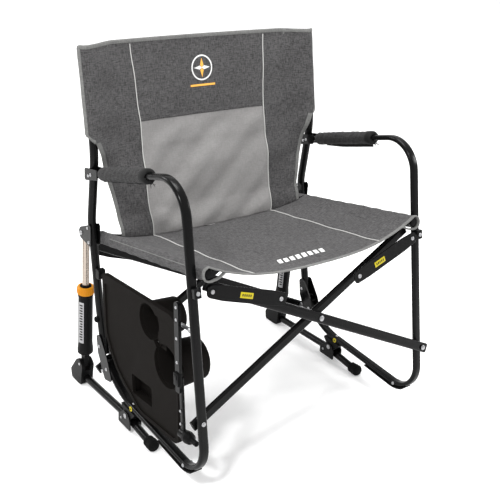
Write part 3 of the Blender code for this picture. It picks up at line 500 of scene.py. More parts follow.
def thickened(made, thickness):
    solid = made.modifiers.new("cloth", 'SOLIDIFY')
    solid.thickness, solid.offset = thickness, 0


def sheet_object(name, rows, body, materials, keep, pick=None):
    """A cloth grid with UVs in metres; keep drops faces, pick chooses a face's material."""
    target = bmesh.new()
    layer = target.loops.layers.uv.new("UVMap")
    verts = [[target.verts.new(point) for point in row] for row in rows]
    middle = len(rows[0]) // 2
    flat, rise = [], 0.0
    for spot, row in enumerate(rows):
        if spot:
            rise += (row[middle] - rows[spot - 1][middle]).length
        across = [0.0] * len(row)
        for k in range(middle + 1, len(row)):
            across[k] = across[k - 1] + (row[k] - row[k - 1]).length
        for k in range(middle - 1, -1, -1):
            across[k] = across[k + 1] - (row[k] - row[k + 1]).length
        flat.append([(u, rise) for u in across])
    for i in range(len(rows) - 1):
        for j in range(len(rows[0]) - 1):
            if not keep(i, j):
                continue
            corners = ((i, j), (i, j + 1), (i + 1, j + 1), (i + 1, j))
            face = target.faces.new([verts[a][b] for a, b in corners])
            face.material_index = pick(i, j) if pick else 0
            for loop, (a, b) in zip(face.loops, corners):
                loop[layer].uv = flat[a][b]
    bmesh.ops.delete(target, geom=[vert for vert in target.verts if not vert.link_faces], context='VERTS')
    mesh = bpy.data.meshes.new(name)
    target.to_mesh(mesh)
    target.free()
    made = add_object(name, mesh, materials, body, "heather_fabric", 60)
    thickened(made, 0.0009)
    return made


def trimming(name, target, materials, body, smooth=60):
    return from_bmesh(name, target, materials, body, "heather_fabric", smooth)


def fitting(name, target, slot, body):
    return from_bmesh(name, target, [MATERIALS[slot]], body, slot)


def band_into(target, rim, inner, thick):
    """Binding folded over an edge: rim points on the edge, inner points where it is sewn."""
    layer = target.loops.layers.uv.verify()
    rings = []
    for spot, (edge, seam) in enumerate(zip(rim, inner)):
        inward = seam - edge
        normal = way_at(rim, spot).cross(inward).normalized()
        out, half = -inward.normalized(), thick / 2
        faces = [[seam.lerp(edge, share) + (normal * side * high + out * past) * half
                  for share, high, past in ((0, 0.7, 0), (0.2, 1, 0), (0.8, 1.1, 0), (1, 0.8, 0.5))]
                 for side in (1, -1)]
        rings.append(faces[0] + [edge + out * half] + faces[1][::-1])
    before = set(target.faces)
    loft_into(target, rings)
    for face in set(target.faces) - before:
        for loop in face.loops:
            near = loop.vert.co
            loop[layer].uv = (near.x + near.y, near.z)


def band_along(target, place, rim, inner, run, thick, lifts=(0, 0)):
    """Binding that runs lengthwise over a surface, between two of its columns."""
    band_into(target, [place(rim, a, lifts[0]) for a in run], [place(inner, a, lifts[1]) for a in run], thick)


def band_across(target, place, rim, inner, run, thick, lift=0):
    """Binding that runs sideways over a surface, between two of its rows."""
    band_into(target, [place(c, rim, lift) for c in run], [place(c, inner, lift) for c in run], thick)


def box_uv(made):
    """UVs in metres from the mesh's own points, for small cloth pieces."""
    mesh = made.data
    layer = mesh.uv_layers.new(name="UVMap")
    for loop in mesh.loops:
        point = mesh.vertices[loop.vertex_index].co
        layer.data[loop.index].uv = (point.x + point.z * 0.7, point.y)


def patch_into(target, corners, place, cuts=3, lift=0.001, index=0):
    """A printed four-sided patch that follows a surface."""
    a, b, c, d = [Vector(corner) for corner in corners]
    rows = []
    for i in range(cuts + 1):
        low, high = a.lerp(b, i / cuts), d.lerp(c, i / cuts)
        rows.append([target.verts.new(place(*low.lerp(high, j / 2), lift)) for j in range(3)])
    for i in range(cuts):
        for j in range(2):
            face = target.faces.new((rows[i][j], rows[i + 1][j], rows[i + 1][j + 1], rows[i][j + 1]))
            face.material_index = index


def stitches_into(target, line, normals, length=0.003, gap=0.0016, radius=0.00034):
    """A row of separate thread stitches along a line on a surface."""
    def at(distance):
        travelled = 0.0
        for k, (a, b) in enumerate(zip(line, line[1:])):
            part = (b - a).length
            if travelled + part >= distance:
                share = (distance - travelled) / max(part, 1e-9)
                return a.lerp(b, share), normals[k].lerp(normals[k + 1], share).normalized()
            travelled += part
        return line[-1], normals[-1]

    total = sum((b - a).length for a, b in zip(line, line[1:]))
    position = gap
    while position + length < total:
        first, up = at(position)
        last = at(position + length)[0]
        middle = first.lerp(last, 0.5) + up * radius
        side = (last - first).cross(up).normalized() * radius
        ends = [target.verts.new(point) for point in (first, last)]
        ring = [target.verts.new(middle + offset) for offset in (side, up * radius, -side, -up * radius * 2)]
        for k in range(4):
            for end in ends:
                target.faces.new((end, ring[k], ring[(k + 1) % 4]))
        position += length + gap


def sewing(name, lines, place, lift, body):
    """Rows of stitches on a surface, each row a list of the surface's own coordinates."""
    thread = bmesh.new()
    for line in lines:
        points = [place(c, a, lift) for c, a in line]
        ups = [(place(c, a, 0.002) - place(c, a)).normalized() for c, a in line]
        stitches_into(thread, points, ups)
    return from_bmesh(name, thread, [THREAD], body)


def column_at(x, pipe, edge):
    """The sheet's column at a given x, for piping and edge at their own x."""
    size = abs(x)
    if size <= pipe:
        c = PIPE_SHARE * size / pipe
    else:
        c = PIPE_SHARE + (1 - PIPE_SHARE) * (size - pipe) / (edge - pipe)
    return math.copysign(c, x)


def column_x(c, pipe, edge):
    """The x of a column between the middle and the edge."""
    if c <= PIPE_SHARE:
        return pipe * c / PIPE_SHARE
    return pipe + (edge - pipe) * (min(c, 1.0) - PIPE_SHARE) / (1 - PIPE_SHARE)


# ---------------- the back
BACK_LOW, CREASE_TOP = 0.4, 0.475  # the sheet's foot, and where it starts to turn in to the crease
HEM_LOW, PANEL_TOP = 0.655, 0.681
# the piping's x and the sheet's edge below the sleeves, each at its height
BACK_PIPE = ((BACK_LOW, 0.1765), (0.56, 0.1815), (PANEL_TOP, 0.18), (TOP_Z, 0.191))
BACK_EDGE = ((0.415, 0.266), (0.4375, 0.2665), (0.4775, 0.268), (0.535, 0.279), (0.605, 0.2965),
             (0.625, 0.3035), (0.645, 0.311), (HEM_LOW, 0.315))
SLEEVE = 0.0139  # cloth's distance from the post's centre line
ROUND_POST = 0.7  # share of the sleeve's columns that go round the post


def back_edge(z):
    return SIDE_X if z >= HEM_LOW else between(z, BACK_EDGE)


def back_flat(x, z):
    """The sheet behind the sitter, which comes forward of the posts near its upper edges."""
    share = x / 0.315
    low = 0.1565 + 0.2096 * (z - 0.415)
    high = post_y(z) + SLEEVE
    y = low + (high - low) * ease(z, 0.56, 0.672) + 0.012 * (1 - share * share)
    across = min(1, max(0, (abs(x) - 0.238) / (SIDE_X - 0.238)))
    front = (0.6 * across + 0.4 * ease(across, 0, 1)) * ease(z, 0.53, 0.648)
    return Vector((x, y + (post_y(z) - SLEEVE - y) * front, z))


def back_columns(c, z):
    """Across the back: |c| below 1 is the sheet, beyond 1 the sleeve round the post."""
    sign = -1 if c < 0 else 1
    c = abs(c)
    if c <= 1:
        return back_flat(column_x(c, between(z, BACK_PIPE), back_edge(z)) * sign, z)
    share = c - 1
    turn = -90 + 190 * min(share / ROUND_POST, 1)
    low = 0.013 * ease(turn, -90, -5) * (1 - ease(z, HEM_LOW, 0.7))
    high = 0.008 * ease(turn, -40, 80) * ease(z, TOP_Z - 0.03, TOP_Z)
    z += low - high
    angle = math.radians(turn)
    ring = Vector(((SIDE_X + SLEEVE * math.cos(angle)) * sign, post_y(z) + SLEEVE * math.sin(angle), z))
    if share <= ROUND_POST:
        return ring
    finish = back_flat(0.25 * sign, z) + Vector((0, 0.0012, 0))
    return ring.lerp(finish, (share - ROUND_POST) / (1 - ROUND_POST))


def back_base(c, z):
    """The back sheet, whose foot meets the seat's rear edge in a crease."""
    point = back_columns(c, z)
    if z < CREASE_TOP and abs(c) <= 1:
        foot = seat_on(point.x, seat_end(point.x))
        share = ease(z, BACK_LOW, CREASE_TOP)
        lift = foot.z + (CREASE_TOP - foot.z) * (z - BACK_LOW) / (CREASE_TOP - BACK_LOW)
        point = Vector((point.x, foot.y + (point.y - foot.y) * share, lift))
    return point


def back_field(c, z):
    """Slanting pulls over the panel and small ripples over the wings."""
    inside = 1 - ease(abs(c), PIPE_SHARE - 0.05, PIPE_SHARE)
    x = c * 0.31
    slope = z - x * 0.62
    if z < PANEL_TOP:
        fade = ease(PANEL_TOP - z, 0, 0.04) * inside
        drawn = fade * (0.003 * math.sin(slope * 2 * math.pi / 0.135 + 0.6) * ease(z, BACK_LOW, 0.46)
                        + 0.0011 * math.sin((z - x * 0.9) * 2 * math.pi / 0.071 + 3 * x))
    else:
        drawn = 0.0006 * math.sin((x * 0.9 - z) * 2 * math.pi / 0.12)
    if abs(c) > 1:
        return ripple(x, z, 30, 0.0007, 3.1)
    side = (1 - inside) * 0.0012 * math.sin((z - 0.5 * abs(x)) * 2 * math.pi / 0.11)
    pinch = -0.0008 * math.exp(-((abs(c) - PIPE_SHARE) / 0.02) ** 2)
    return drawn + side + pinch + ripple(x, z, 22, 0.0011, 1.7) + ripple(x, z, 60, 0.0004, 4.2)


back_place = lifted(back_base, back_field)


def back_on(x, z, lift=0.0):
    """A point of the back at a given x."""
    return back_place(column_at(x, between(z, BACK_PIPE), back_edge(z)), z, lift)


# ---------------- the seat
SEAT_FRONT, SEAT_REAR = -0.0262, 0.372
SEAT_PIPE = 0.1765
SEAT_SEAM = 0.25  # where the sleeve's under-layer is sewn up
WRAP = 0.015  # cloth's distance from the rail's centre line
ROUND_RAIL = 0.65  # share of the sleeve's columns that go round the rail


def seat_end(x):
    """The rear edge, which bows back a little in the middle."""
    share = min(1.0, abs(x) / 0.266)
    return 0.3734 + 0.0102 * (1 - share * share)


def seat_column(x):
    return column_at(x, SEAT_PIPE, RAIL_X)


def seat_top(x, along=0.38):
    """Height of the sling above the feet, hanging deeper at the front than at the crease."""
    rear = ease(along, -0.03, 0.4)
    depth, shape = 0.052 - 0.024 * rear, 2.8 + 1.2 * rear
    return RISE + WRAP - depth * (1 - min(1, abs(x) / RAIL_X) ** shape)


def seat_base(c, along):
    """Across the seat: |c| below 1 is the top, beyond 1 the sleeve under the rail."""
    sign = -1 if c < 0 else 1
    c = abs(c)
    if c <= 1:
        x = column_x(c, SEAT_PIPE, RAIL_X)
        return fold_point(x * sign, along, seat_top(x, along))
    share = c - 1
    angle = math.radians(90 - 190 * min(1, share / ROUND_RAIL))
    ring = Vector((RAIL_X + WRAP * math.cos(angle), RISE + WRAP * math.sin(angle)))
    if share <= ROUND_RAIL:
        return fold_point(ring.x * sign, along, ring.y)
    back_in = (share - ROUND_RAIL) / (1 - ROUND_RAIL)
    spot = ring.lerp(Vector((SEAT_SEAM, seat_top(SEAT_SEAM, along) - 0.0014)), back_in)
    return fold_point(spot.x * sign, along, spot.y - 0.003 * math.sin(math.pi * back_in))


def seat_field(c, along):
    """Seam and piping dips, slanting pulls from the rails and fine ripples."""
    x = c * 0.29
    if abs(c) > 1:
        return 0.0006 * math.sin(along * 2 * math.pi / 0.045) + ripple(along, c, 28, 0.0008, 5.5)
    seam = -0.0012 * math.exp(-((abs(c) - seat_column(SEAT_SEAM)) / 0.014) ** 2)
    pipe = -0.0009 * math.exp(-((abs(c) - PIPE_SHARE) / 0.02) ** 2)
    pulls = 0.0014 * math.sin((along + 0.45 * abs(x)) * 2 * math.pi / 0.13) * ease(abs(c), 0.35, 0.75)
    middle = 1 - ease(abs(c), 0.4, 0.7)
    seatmark = 0.0016 * math.sin((along * 0.8 - x * 0.5) * 2 * math.pi / 0.19 + 1.1) * middle
    front = 1 - 0.7 * (1 - ease(along, SEAT_FRONT, 0.03))
    return seam + pipe + (pulls + seatmark) * front * 0.8 + ripple(x, along, 20, 0.0013, 8.3) * front \
        + ripple(x, along, 55, 0.0004, 2.9)


seat_place = lifted(seat_base, seat_field)


def seat_on(x, along, lift=0.0):
    return seat_place(seat_column(x), along, lift)


def seat_cloth(columns):
    starts = [SEAT_FRONT, SEAT_FRONT + 0.003, -0.02] + runs((-0.014, 0.0215, SEAT_REAR), (6, 62))
    rows = []
    for along in starts:
        share = (along - SEAT_FRONT) / (SEAT_REAR - SEAT_FRONT)
        row = []
        for c in columns:
            x = abs(seat_base(c, 0).x) if abs(c) <= 1 else RAIL_X
            row.append(seat_place(c, along + (seat_end(x) - SEAT_REAR) * ease(share, 0.5, 1.0)))
        rows.append(row)
    notch = [k for k, along in enumerate(starts) if -0.0201 < along < 0.0214]

    def keep(i, j):
        """The sleeve's under-layer is cut away where the crossed leg meets the rail."""
        under = min(abs(columns[j]), abs(columns[j + 1])) >= 1.55
        return not (under and i in notch)

    return sheet_object("seat_cloth", rows, "rail_right", [HEATHER], keep)


def seat_binding(columns):
    trim = bmesh.new()
    band_across(trim, seat_place, SEAT_FRONT - 0.0006, SEAT_FRONT + 0.0062, columns, 0.0038)
    for sign in (-1, 1):
        band_along(trim, seat_place, 1.56 * sign, 1.46 * sign, steps(-0.015, 0.0205, 8), 0.002)
    return trimming("seat_binding", trim, [BINDING], "rail_right")


def seat_piping():
    """A light cord along each panel seam and a thin one along each sleeve."""
    piping = bmesh.new()
    for sign in (-1, 1):
        line = [seat_place(PIPE_SHARE * sign, a, 0.0014) for a in steps(SEAT_FRONT + 0.004, 0.3765, 90)]
        tube_into(piping, line, 0.0012, 8)
        line = [seat_place(1.2 * sign, a, 0.0007) for a in steps(0.024, 0.365, 70)]
        tube_into(piping, line, 0.0008, 6, 1)
    return trimming("seat_piping", piping, [PIPING, BINDING], "rail_right", 40)


def seat_stitches():
    lines = [[(c, SEAT_FRONT + 0.008) for c in steps(-1.5, 1.5, 220)]]
    for sign in (-1, 1):
        for c, rear in ((seat_column(SEAT_SEAM - 0.002), 0.368), (seat_column(SEAT_SEAM + 0.003), 0.368),
                        (PIPE_SHARE + 0.022, 0.37)):
            lines.append([(c * sign, a) for a in steps(-0.02, rear, 90)])
        for a in (0.15, 0.156, 0.17, 0.176):
            lines.append([(c * sign, a) for c in steps(1.02, 1.52, 18)])
    return sewing("seat_stitches", lines, seat_place, 0.00055, "rail_right")


def seat_print():
    """A row of plain slanted bars."""
    marks = bmesh.new()
    tall, wide, slant = 0.0125, 0.0056, 0.45
    for x in steps(-0.0595, 0.0595, 7):
        corners = [(x + dx + da * slant, 0.042 + da)
                   for dx, da in ((-wide, -tall), (wide, -tall), (wide, tall), (-wide, tall))]
        patch_into(marks, corners, seat_on)
    return from_bmesh("seat_print", marks, [WHITE_PRINT], "rail_right")


def seat():
    columns = mirrored(runs((0, PIPE_SHARE, 1, 1 + ROUND_RAIL, 2), (20, 14, 14, 6)))
    made = seat_cloth(columns)
    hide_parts("seat_sling")
    pieces = [seat_binding(columns), seat_piping(), seat_stitches(), seat_print()]
    for piece in [made] + pieces:
        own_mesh(piece)


def seat_sleeve_end(side, sign):
    """The narrow tail of a seat sleeve, behind the sheet."""
    rings = []
    for along in steps(0.373, 0.429, 12):
        tail = 0.012 + 0.04 * (1 - ease(along, 0.373, 0.4))
        ring = []
        for k, turn in enumerate(steps(90, -110, 16)):
            swell = WRAP + 0.0004 * math.sin(along * 420 + k)
            angle = math.radians(turn)
            ring.append(Vector((RAIL_X + swell * math.cos(angle), RISE + swell * math.sin(angle))))
        tip = Vector((RAIL_X - WRAP * 0.4 - tail, RISE + 0.004))
        top, low = ring[0], ring[-1]
        ring += [low.lerp(tip, 0.5) - Vector((0, 0.0012)), tip, top.lerp(tip, 0.66), top.lerp(tip, 0.33)]
        rings.append([fold_point(point.x * sign, along, point.y) for point in ring])
    sleeve = bmesh.new()
    loft_into(sleeve, rings, caps=False)
    end = trimming(f"seat_sleeve_end_{side}", sleeve, [HEATHER], f"rail_{side}")
    box_uv(end)
    thickened(end, 0.001)
    edge = bmesh.new()
    rim, before = rings[-1] + rings[-1][:1], rings[-2] + rings[-2][:1]
    band_into(edge, rim, [a.lerp(b, 1.2) for a, b in zip(rim, before)], 0.0022)
    trimming(f"seat_sleeve_binding_{side}", edge, [BINDING], f"rail_{side}")


def back_cloth(columns):
    heights = runs((BACK_LOW, HEM_LOW, PANEL_TOP, TOP_Z - 0.001), (50, 6, 36))
    rows = [[back_place(c, z) for c in columns] for z in heights]
    hem_row, panel_row = heights.index(HEM_LOW), heights.index(PANEL_TOP)

    def keep(i, j):
        """No sleeve below the hem."""
        sleeve = max(abs(columns[j]), abs(columns[j + 1])) > 1.0001
        return not (sleeve and i < hem_row)

    def pick(i, j):
        """The light panel lies between the pipings, below the head band."""
        inside = max(abs(columns[j]), abs(columns[j + 1])) <= PIPE_SHARE + 0.0001
        return 1 if inside and i < panel_row else 0

    return sheet_object("back_cloth", rows, "frame_right", [HEATHER, PANEL], keep, pick)


def back_binding(columns):
    trim = bmesh.new()
    top = TOP_Z - 0.0008
    band_across(trim, back_place, top, top - 0.0075, columns, 0.003)
    for sign in (-1, 1):
        band_along(trim, back_place, 0.997 * sign, 0.962 * sign, steps(0.404, HEM_LOW, 44), 0.0026)
        band_across(trim, back_place, HEM_LOW + 0.0004, HEM_LOW + 0.0075, steps(sign, 2 * sign, 24), 0.0026)
        sleeve = steps(HEM_LOW + 0.004, top - 0.004, 40)
        band_along(trim, back_place, 1.376 * sign, 1.228 * sign, sleeve, 0.0018, (0.002, 0.0008))
    return trimming("back_binding", trim, [BINDING], "frame_right")


def back_sleeve_caps():
    """The closed upper ends of the sleeves."""
    caps = bmesh.new()
    top = TOP_Z - 0.0008
    for sign in (-1, 1):
        ring = [back_place(c * sign, top) for c in steps(1.0, 2.0, 28)] \
            + [back_flat(x * sign, top) for x in steps(0.252, SIDE_X, 12)][1:-1]
        centre = sum(ring, Vector()) / len(ring)
        dome = ((1, -0.0015), (0.97, 0.0002), (0.7, 0.0009), (0.35, 0.0012), (0.05, 0.0013))
        loft_into(caps, [[centre.lerp(point, size) + Z_AXIS * lift for point in ring] for size, lift in dome])
    made = trimming("back_sleeve_caps", caps, [HEATHER], "frame_right", 70)
    box_uv(made)
    return made


def back_piping():
    piping = bmesh.new()
    for sign in (-1, 1):
        line = [back_place(PIPE_SHARE * sign, z, 0.0014) for z in steps(0.401, TOP_Z - 0.011, 110)]
        tube_into(piping, line, 0.0012, 8)
    return trimming("back_piping", piping, [PIPING], "frame_right", 40)


def back_panel_seams():
    """Flat seams above the light panel and beside both pipings."""
    seams = bmesh.new()
    inside = steps(-PIPE_SHARE + 0.008, PIPE_SHARE - 0.008, 60)
    band_across(seams, back_place, PANEL_TOP - 0.0014, PANEL_TOP + 0.0075, inside, 0.0016, 0.0007)
    for sign in (-1, 1):
        band_along(seams, back_place, sign * (PIPE_SHARE + 0.012), sign * (PIPE_SHARE + 0.05),
                   steps(0.408, PANEL_TOP, 60), 0.0012, (0.0004, 0.0004))
    return trimming("back_panel_seams", seams, [HEATHER], "frame_right")


def back_stitches():
    lines = [[(c, TOP_Z - 0.0125) for c in steps(-0.99, 0.99, 130)],
             [(c, PANEL_TOP + 0.01) for c in steps(-PIPE_SHARE + 0.01, PIPE_SHARE - 0.01, 80)]]
    for sign in (-1, 1):
        for c, low, high, count in ((PIPE_SHARE + 0.04, 0.41, TOP_Z - 0.013, 110), (0.955, 0.41, HEM_LOW, 60),
                                    (1.97, HEM_LOW + 0.01, TOP_Z - 0.012, 50)):
            lines.append([(sign * c, z) for z in steps(low, high, count)])
    return sewing("back_stitches", lines, back_place, 0.0008, "frame_right")


def emblem():
    """A generic compass: a ring, a four-pointed star and a short bar under it."""
    art = bmesh.new()
    middle_x, middle_z, size = 0.003, 0.786, 1.18
    lift, sectors = 0.0011, 40

    def spot(u, v, high):
        return back_on(middle_x + u * size, middle_z + v * size, high)

    for k in range(sectors):
        a, b = 2 * math.pi * k / sectors, 2 * math.pi * (k + 1) / sectors
        corners = [(radius * math.cos(turn), radius * math.sin(turn))
                   for radius, turn in ((0.0225, a), (0.0255, a), (0.0255, b), (0.0225, b))]
        patch_into(art, corners, spot, 1, lift)
    for k in range(4):
        way = Matrix.Rotation(math.pi / 2 * k, 2) @ Vector((1, 0))
        side = Vector((-way.y, way.x))
        for turn in (-1, 1):
            corners = [(0, 0), way * 0.0052 + side * 0.0042 * turn, way * 0.0195, way * 0.01]
            patch_into(art, corners, spot, 2, lift, k % 2)
    bar = [(-0.03, -0.0365), (0.03, -0.0365), (0.03, -0.0325), (-0.03, -0.0325)]
    patch_into(art, bar, spot, 12, lift, 1)
    return from_bmesh("back_emblem", art, [WHITE_PRINT, AMBER_PRINT], "frame_right")


def back():
    columns = mirrored(runs((0, PIPE_SHARE, 1, 1 + ROUND_POST, 2), (22, 20, 18, 6)))
    made = back_cloth(columns)
    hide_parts("back_sling")
    pieces = [back_binding(columns), back_sleeve_caps(), back_piping(), back_panel_seams(), back_stitches(),
              emblem()]
    for piece in [made] + pieces:
        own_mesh(piece)


# ---------------- arm pads
PAD_LENGTH = 0.203


def arm_line(sign):
    """The pad's rear end on the arm's centre line, the arm's direction and its upward normal."""
    rear = Vector((SIDE_X * sign, *ARM_REAR))
    corner = fold_point(SIDE_X * sign, 0, ARM_UP)
    along = (corner - rear).normalized()
    up = along.cross(X_AXIS)
    return rear + along * 0.034, along, up if up.z > 0 else -up


def arm_pad(side, sign):
    """A padded sleeve with a seam below, fine gathers and shallow dents."""
    start, along, up = arm_line(sign)
    sides = 48
    rear_end = [(0.004, 0.8), (0.0012, 0.86), (0.0, 0.93)]
    profile = rear_end + [(d, 1.0) for d in steps(0.003, PAD_LENGTH - 0.003, 50)] \
        + [(PAD_LENGTH - d, size) for d, size in reversed(rear_end)]
    rings = []
    for distance, size in profile:
        swell = 0.0162 + 0.0007 * math.sin(math.pi * distance / PAD_LENGTH)
        ring = []
        for k in range(sides):
            angle = 2 * math.pi * k / sides - math.pi / 2
            seam = math.exp(-((k if k < sides / 2 else k - sides) / 1.6) ** 2)
            dent = ripple(distance, angle * 0.017 * sign, 40, 0.0011, 6 + sign) \
                + 0.0004 * math.sin(distance * 2 * math.pi / 0.018 + 2 * math.sin(angle * 2))
            radius = (swell + dent * (size > 0.95) - seam * 0.0013) * size
            ring.append(start + along * distance + X_AXIS * (radius * math.cos(angle))
                        + up * (radius * 0.95 * math.sin(angle)))
        rings.append(ring)
    pad = bmesh.new()
    loft_into(pad, rings, caps=False)
    made = from_bmesh(f"arm_pad_{side}_sleeve", pad, [PAD], f"frame_{side}", "pad_fabric", 60)
    layer = made.data.uv_layers.new(name="UVMap")
    for loop in made.data.loops:
        point = made.data.vertices[loop.vertex_index].co - start
        layer.data[loop.index].uv = (point.dot(along), math.atan2(point.dot(up), point.x) * 0.0165)
    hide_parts(f"arm_pad_{side}")


def arm_pad_strap(side, sign):
    """The closing flap under the pad, its two cuffs and the loose ties at its front."""
    start, along, up = arm_line(sign)
    straps = bmesh.new()
    flap = steps(0.004, PAD_LENGTH - 0.004, 30)
    band_into(straps, [start + along * d - up * (0.0158 + 0.0004 * math.sin(d * 160)) + X_AXIS * 0.004 * sign
                       for d in flap],
              [start + along * d - up * 0.0146 - X_AXIS * 0.006 * sign for d in flap], 0.0018)
    front_cuff = ((-0.014, 0.0166, 0.0158), (-0.0135, 0.0174, 0.0166), (-0.001, 0.0173, 0.0165),
                  (0.002, 0.016, 0.015), (0.0032, 0.0128, 0.0088), (0.001, 0.0114, 0.0067))
    rear_cuff = ((0.004, 0.015, 0.0142), (0.0005, 0.015, 0.014), (-0.001, 0.0122, 0.008),
                 (0.0005, 0.0114, 0.0067))
    for base, cuff in ((PAD_LENGTH, front_cuff), (0, rear_cuff)):
        loft_into(straps, [ring_of(start + along * (base + distance), X_AXIS, up, wide, tall, 40)
                           for distance, wide, tall in cuff], caps=False)
    if side == "left":
        hang = steps(0.03, PAD_LENGTH - 0.002, 24)
        band_into(straps, [start + along * d - up * (0.0175 + 0.004 * ease(d, 0.02, 0.1)) for d in hang],
                  [start + along * d - up * 0.015 - X_AXIS * 0.001 for d in hang], 0.0022)
    for k, (dx, dz, reach) in enumerate(((-0.4, -0.9, 0.022), (0.5, -0.8, 0.017), (-0.9, 0.2, 0.014),
                                         (0.8, 0.5, 0.012), (0.1, -1.0, 0.026))):
        base = start + along * (PAD_LENGTH - 0.003) + X_AXIS * (0.0135 * dx) + up * (0.0128 * dz)
        line = []
        for share in steps(0, 1, 8):
            curl = 0.004 * math.sin(share * 5 + k)
            line.append(base + along * (reach * share * 0.9) + up * (curl - reach * 0.35 * share * share)
                        + X_AXIS * (0.003 * math.sin(share * 4 + 2 * k)))
        tube_into(straps, line, lambda share: 0.001 * (1 - 0.5 * share), 6)
    from_bmesh(f"arm_pad_{side}_strap", straps, [DARK_WEB], f"frame_{side}", "pad_fabric", 60)


# ---------------- small hardware and labels
LINK_FACE, LINK_REAR_FACE = -0.0243, 0.4662  # the links' outer faces, along the fold axis


def both_faces(target, x, half, radius, places):
    """Rivet heads on both faces of a flat piece, at places in y and z."""
    for y, z in places:
        for way in (-1, 1):
            rivet_into(target, Vector((x + way * half, y, z)), X_AXIS * way, radius)


def frame_rivets(side, sign):
    x = SIDE_X * sign
    heads = bmesh.new()
    rivet_into(heads, fold_point(x - 0.002 * sign, -0.0192, LINK_HEAD.y + 0.002), -FOLD_AXIS, 0.0046)
    if side == "right":
        rivet_into(heads, fold_point(x, -0.0066, 0), -FOLD_AXIS, 0.005)
    both_faces(heads, x, 0.014, 0.0042, ((0.113, 0.115), (0.1495, 0.16), (0.133, 0.101)))
    both_faces(heads, x, 0.013, 0.0058, ((0.239, 0.4231),))
    both_faces(heads, x, 0.013, 0.004, ((post_y(0.412), 0.412),))
    both_faces(heads, x, 0.013, 0.0036, ((post_y(0.446), 0.446),))
    both_faces(heads, x, 0.014, 0.0038, ((0.187, 0.583), (post_y(0.578), 0.578)))
    toe = fold_point(0, 0, -TOE_DOWN)
    both_faces(heads, x, 0.0112, 0.004, ((toe.y + 0.075, toe.z + 0.0055),))
    for y in (0.0035, 0.034):
        rivet_into(heads, Vector((x, y, 0.0762)), Z_AXIS, 0.0036)
    fitting(f"rivets_frame_{side}", heads, "zinc", f"frame_{side}")


def post_bumper(side, sign):
    bumper, z = bmesh.new(), 0.226
    turned_into(bumper, Vector(((SIDE_X + 0.0085) * sign, post_y(z) - 0.001, z)), X_AXIS * sign,
                [(-0.001, 0.007), (0.003, 0.0078), (0.0062, 0.0072), (0.0082, 0.005), (0.0086, 0.001)])
    fitting(f"post_bumper_{side}", bumper, "rubber", f"frame_{side}")


def ground_rivets(side, sign):
    heads = bmesh.new()
    both_faces(heads, SIDE_X * sign, 0.0165, 0.0036, ((STRUT_LOW.y, STRUT_LOW.z),))
    both_faces(heads, SIDE_X * sign, 0.0158, 0.0032, ((0.037, 0.025),))
    fitting(f"rivets_ground_{side}", heads, "zinc", f"ground_{side}")


def link_rivets(side, sign):
    """Rivet heads at both ends of the links, and the front link's stud towards the crossed leg."""
    heads = bmesh.new()
    for along, way in ((LINK_FACE, -1), (LINK_REAR_FACE, 1)):
        for spot, radius in ((LINK_HEAD, 0.0046), (LINK_FAR, 0.005)):
            rivet_into(heads, fold_point(spot.x * sign, along, spot.y), FOLD_AXIS * way, radius)
    reach = 0.01 if side == "left" else 0.009
    turned_into(heads, fold_point(LINK_FAR.x * sign, LINK_FACE + 0.002, LINK_FAR.y), FOLD_AXIS,
                [(0, 0.0052), (0.0026, 0.0052), (0.0026, 0.006), (reach, 0.006)], 20)
    fitting(f"rivets_links_{side}", heads, "zinc", f"links_{side}")


def link_sticker(side, sign):
    """A yellow sticker with a row of plain dark marks."""
    film = bmesh.new()
    near, far = [fold_point(end.x * sign, LINK_FACE - 0.0001, end.y) for end in (LINK_HEAD, LINK_FAR)]
    way = (far - near).normalized()
    axes = (way, FOLD_AXIS.cross(way).normalized(), FOLD_AXIS)
    middle = near + way * (0.086 if side == "right" else 0.112)
    block_into(film, middle - FOLD_AXIS * 0.0001, (0.033, 0.0125, 0.0005), axes, 0.0001)
    for run in steps(-0.0105, 0.0103, 4):
        block_into(film, middle - FOLD_AXIS * 0.0005 + way * run, (0.0028, 0.0052, 0.0003), axes, 0.00005, 1)
    from_bmesh(f"link_sticker_{side}", film, [YELLOW_FILM, DARK_FILM], f"links_{side}")


def rail_sticker(side, sign):
    """A round yellow dot on the loop's lower rail."""
    film = bmesh.new()
    spot = Vector((SIDE_X * sign - 0.0108, 0.0, 0.0675))
    turned_into(film, spot, -X_AXIS,
                [(-0.0004, 0.006), (0.0008, 0.006), (0.0011, 0.0054), (0.0012, 0.0006)], 28)
    turned_into(film, spot - X_AXIS * 0.0009, -X_AXIS,
                [(0, 0.0026), (0.0008, 0.0024), (0.0009, 0.0004)], 20, 1)
    from_bmesh(f"rail_sticker_{side}", film, [YELLOW_FILM, DARK_FILM], f"frame_{side}")


def rail_caps(side, sign):
    caps = bmesh.new()
    profile = [(-0.001, 0.0098), (0.0016, 0.0102), (0.0034, 0.0094), (0.0042, 0.006), (0.0043, 0.001)]
    for along, way in ((-0.0208, -1), (0.4572, 1)):
        turned_into(caps, fold_point(RAIL_X * sign, along, RISE), FOLD_AXIS * way, profile)
    fitting(f"rail_caps_{side}", caps, "black_plastic", f"rail_{side}")


def strut_label(side, low, across):
    """A pale strip with plain dark bars."""
    def skin(turn, up, lift):
        way = X_AXIS * -math.cos(turn) + across * math.sin(turn)
        return low + STRUT_WAY * up + way * (0.018 + lift)

    label = bmesh.new()
    patch_into(label, [(0.1, 0.066), (0.86, 0.066), (0.86, 0.18), (0.1, 0.18)], skin, 8, 0.0004)
    for k, up in enumerate(steps(0.074, 0.17, 13)):
        left = 0.24 if k % 3 else 0.34
        top = up + 0.004
        patch_into(label, [(left, up), (0.7, up), (0.7, top), (left, top)], skin, 4, 0.0007, 1)
    from_bmesh(f"strut_label_{side}", label, [PALE_FILM, DARK_FILM], f"strut_cylinder_{side}")


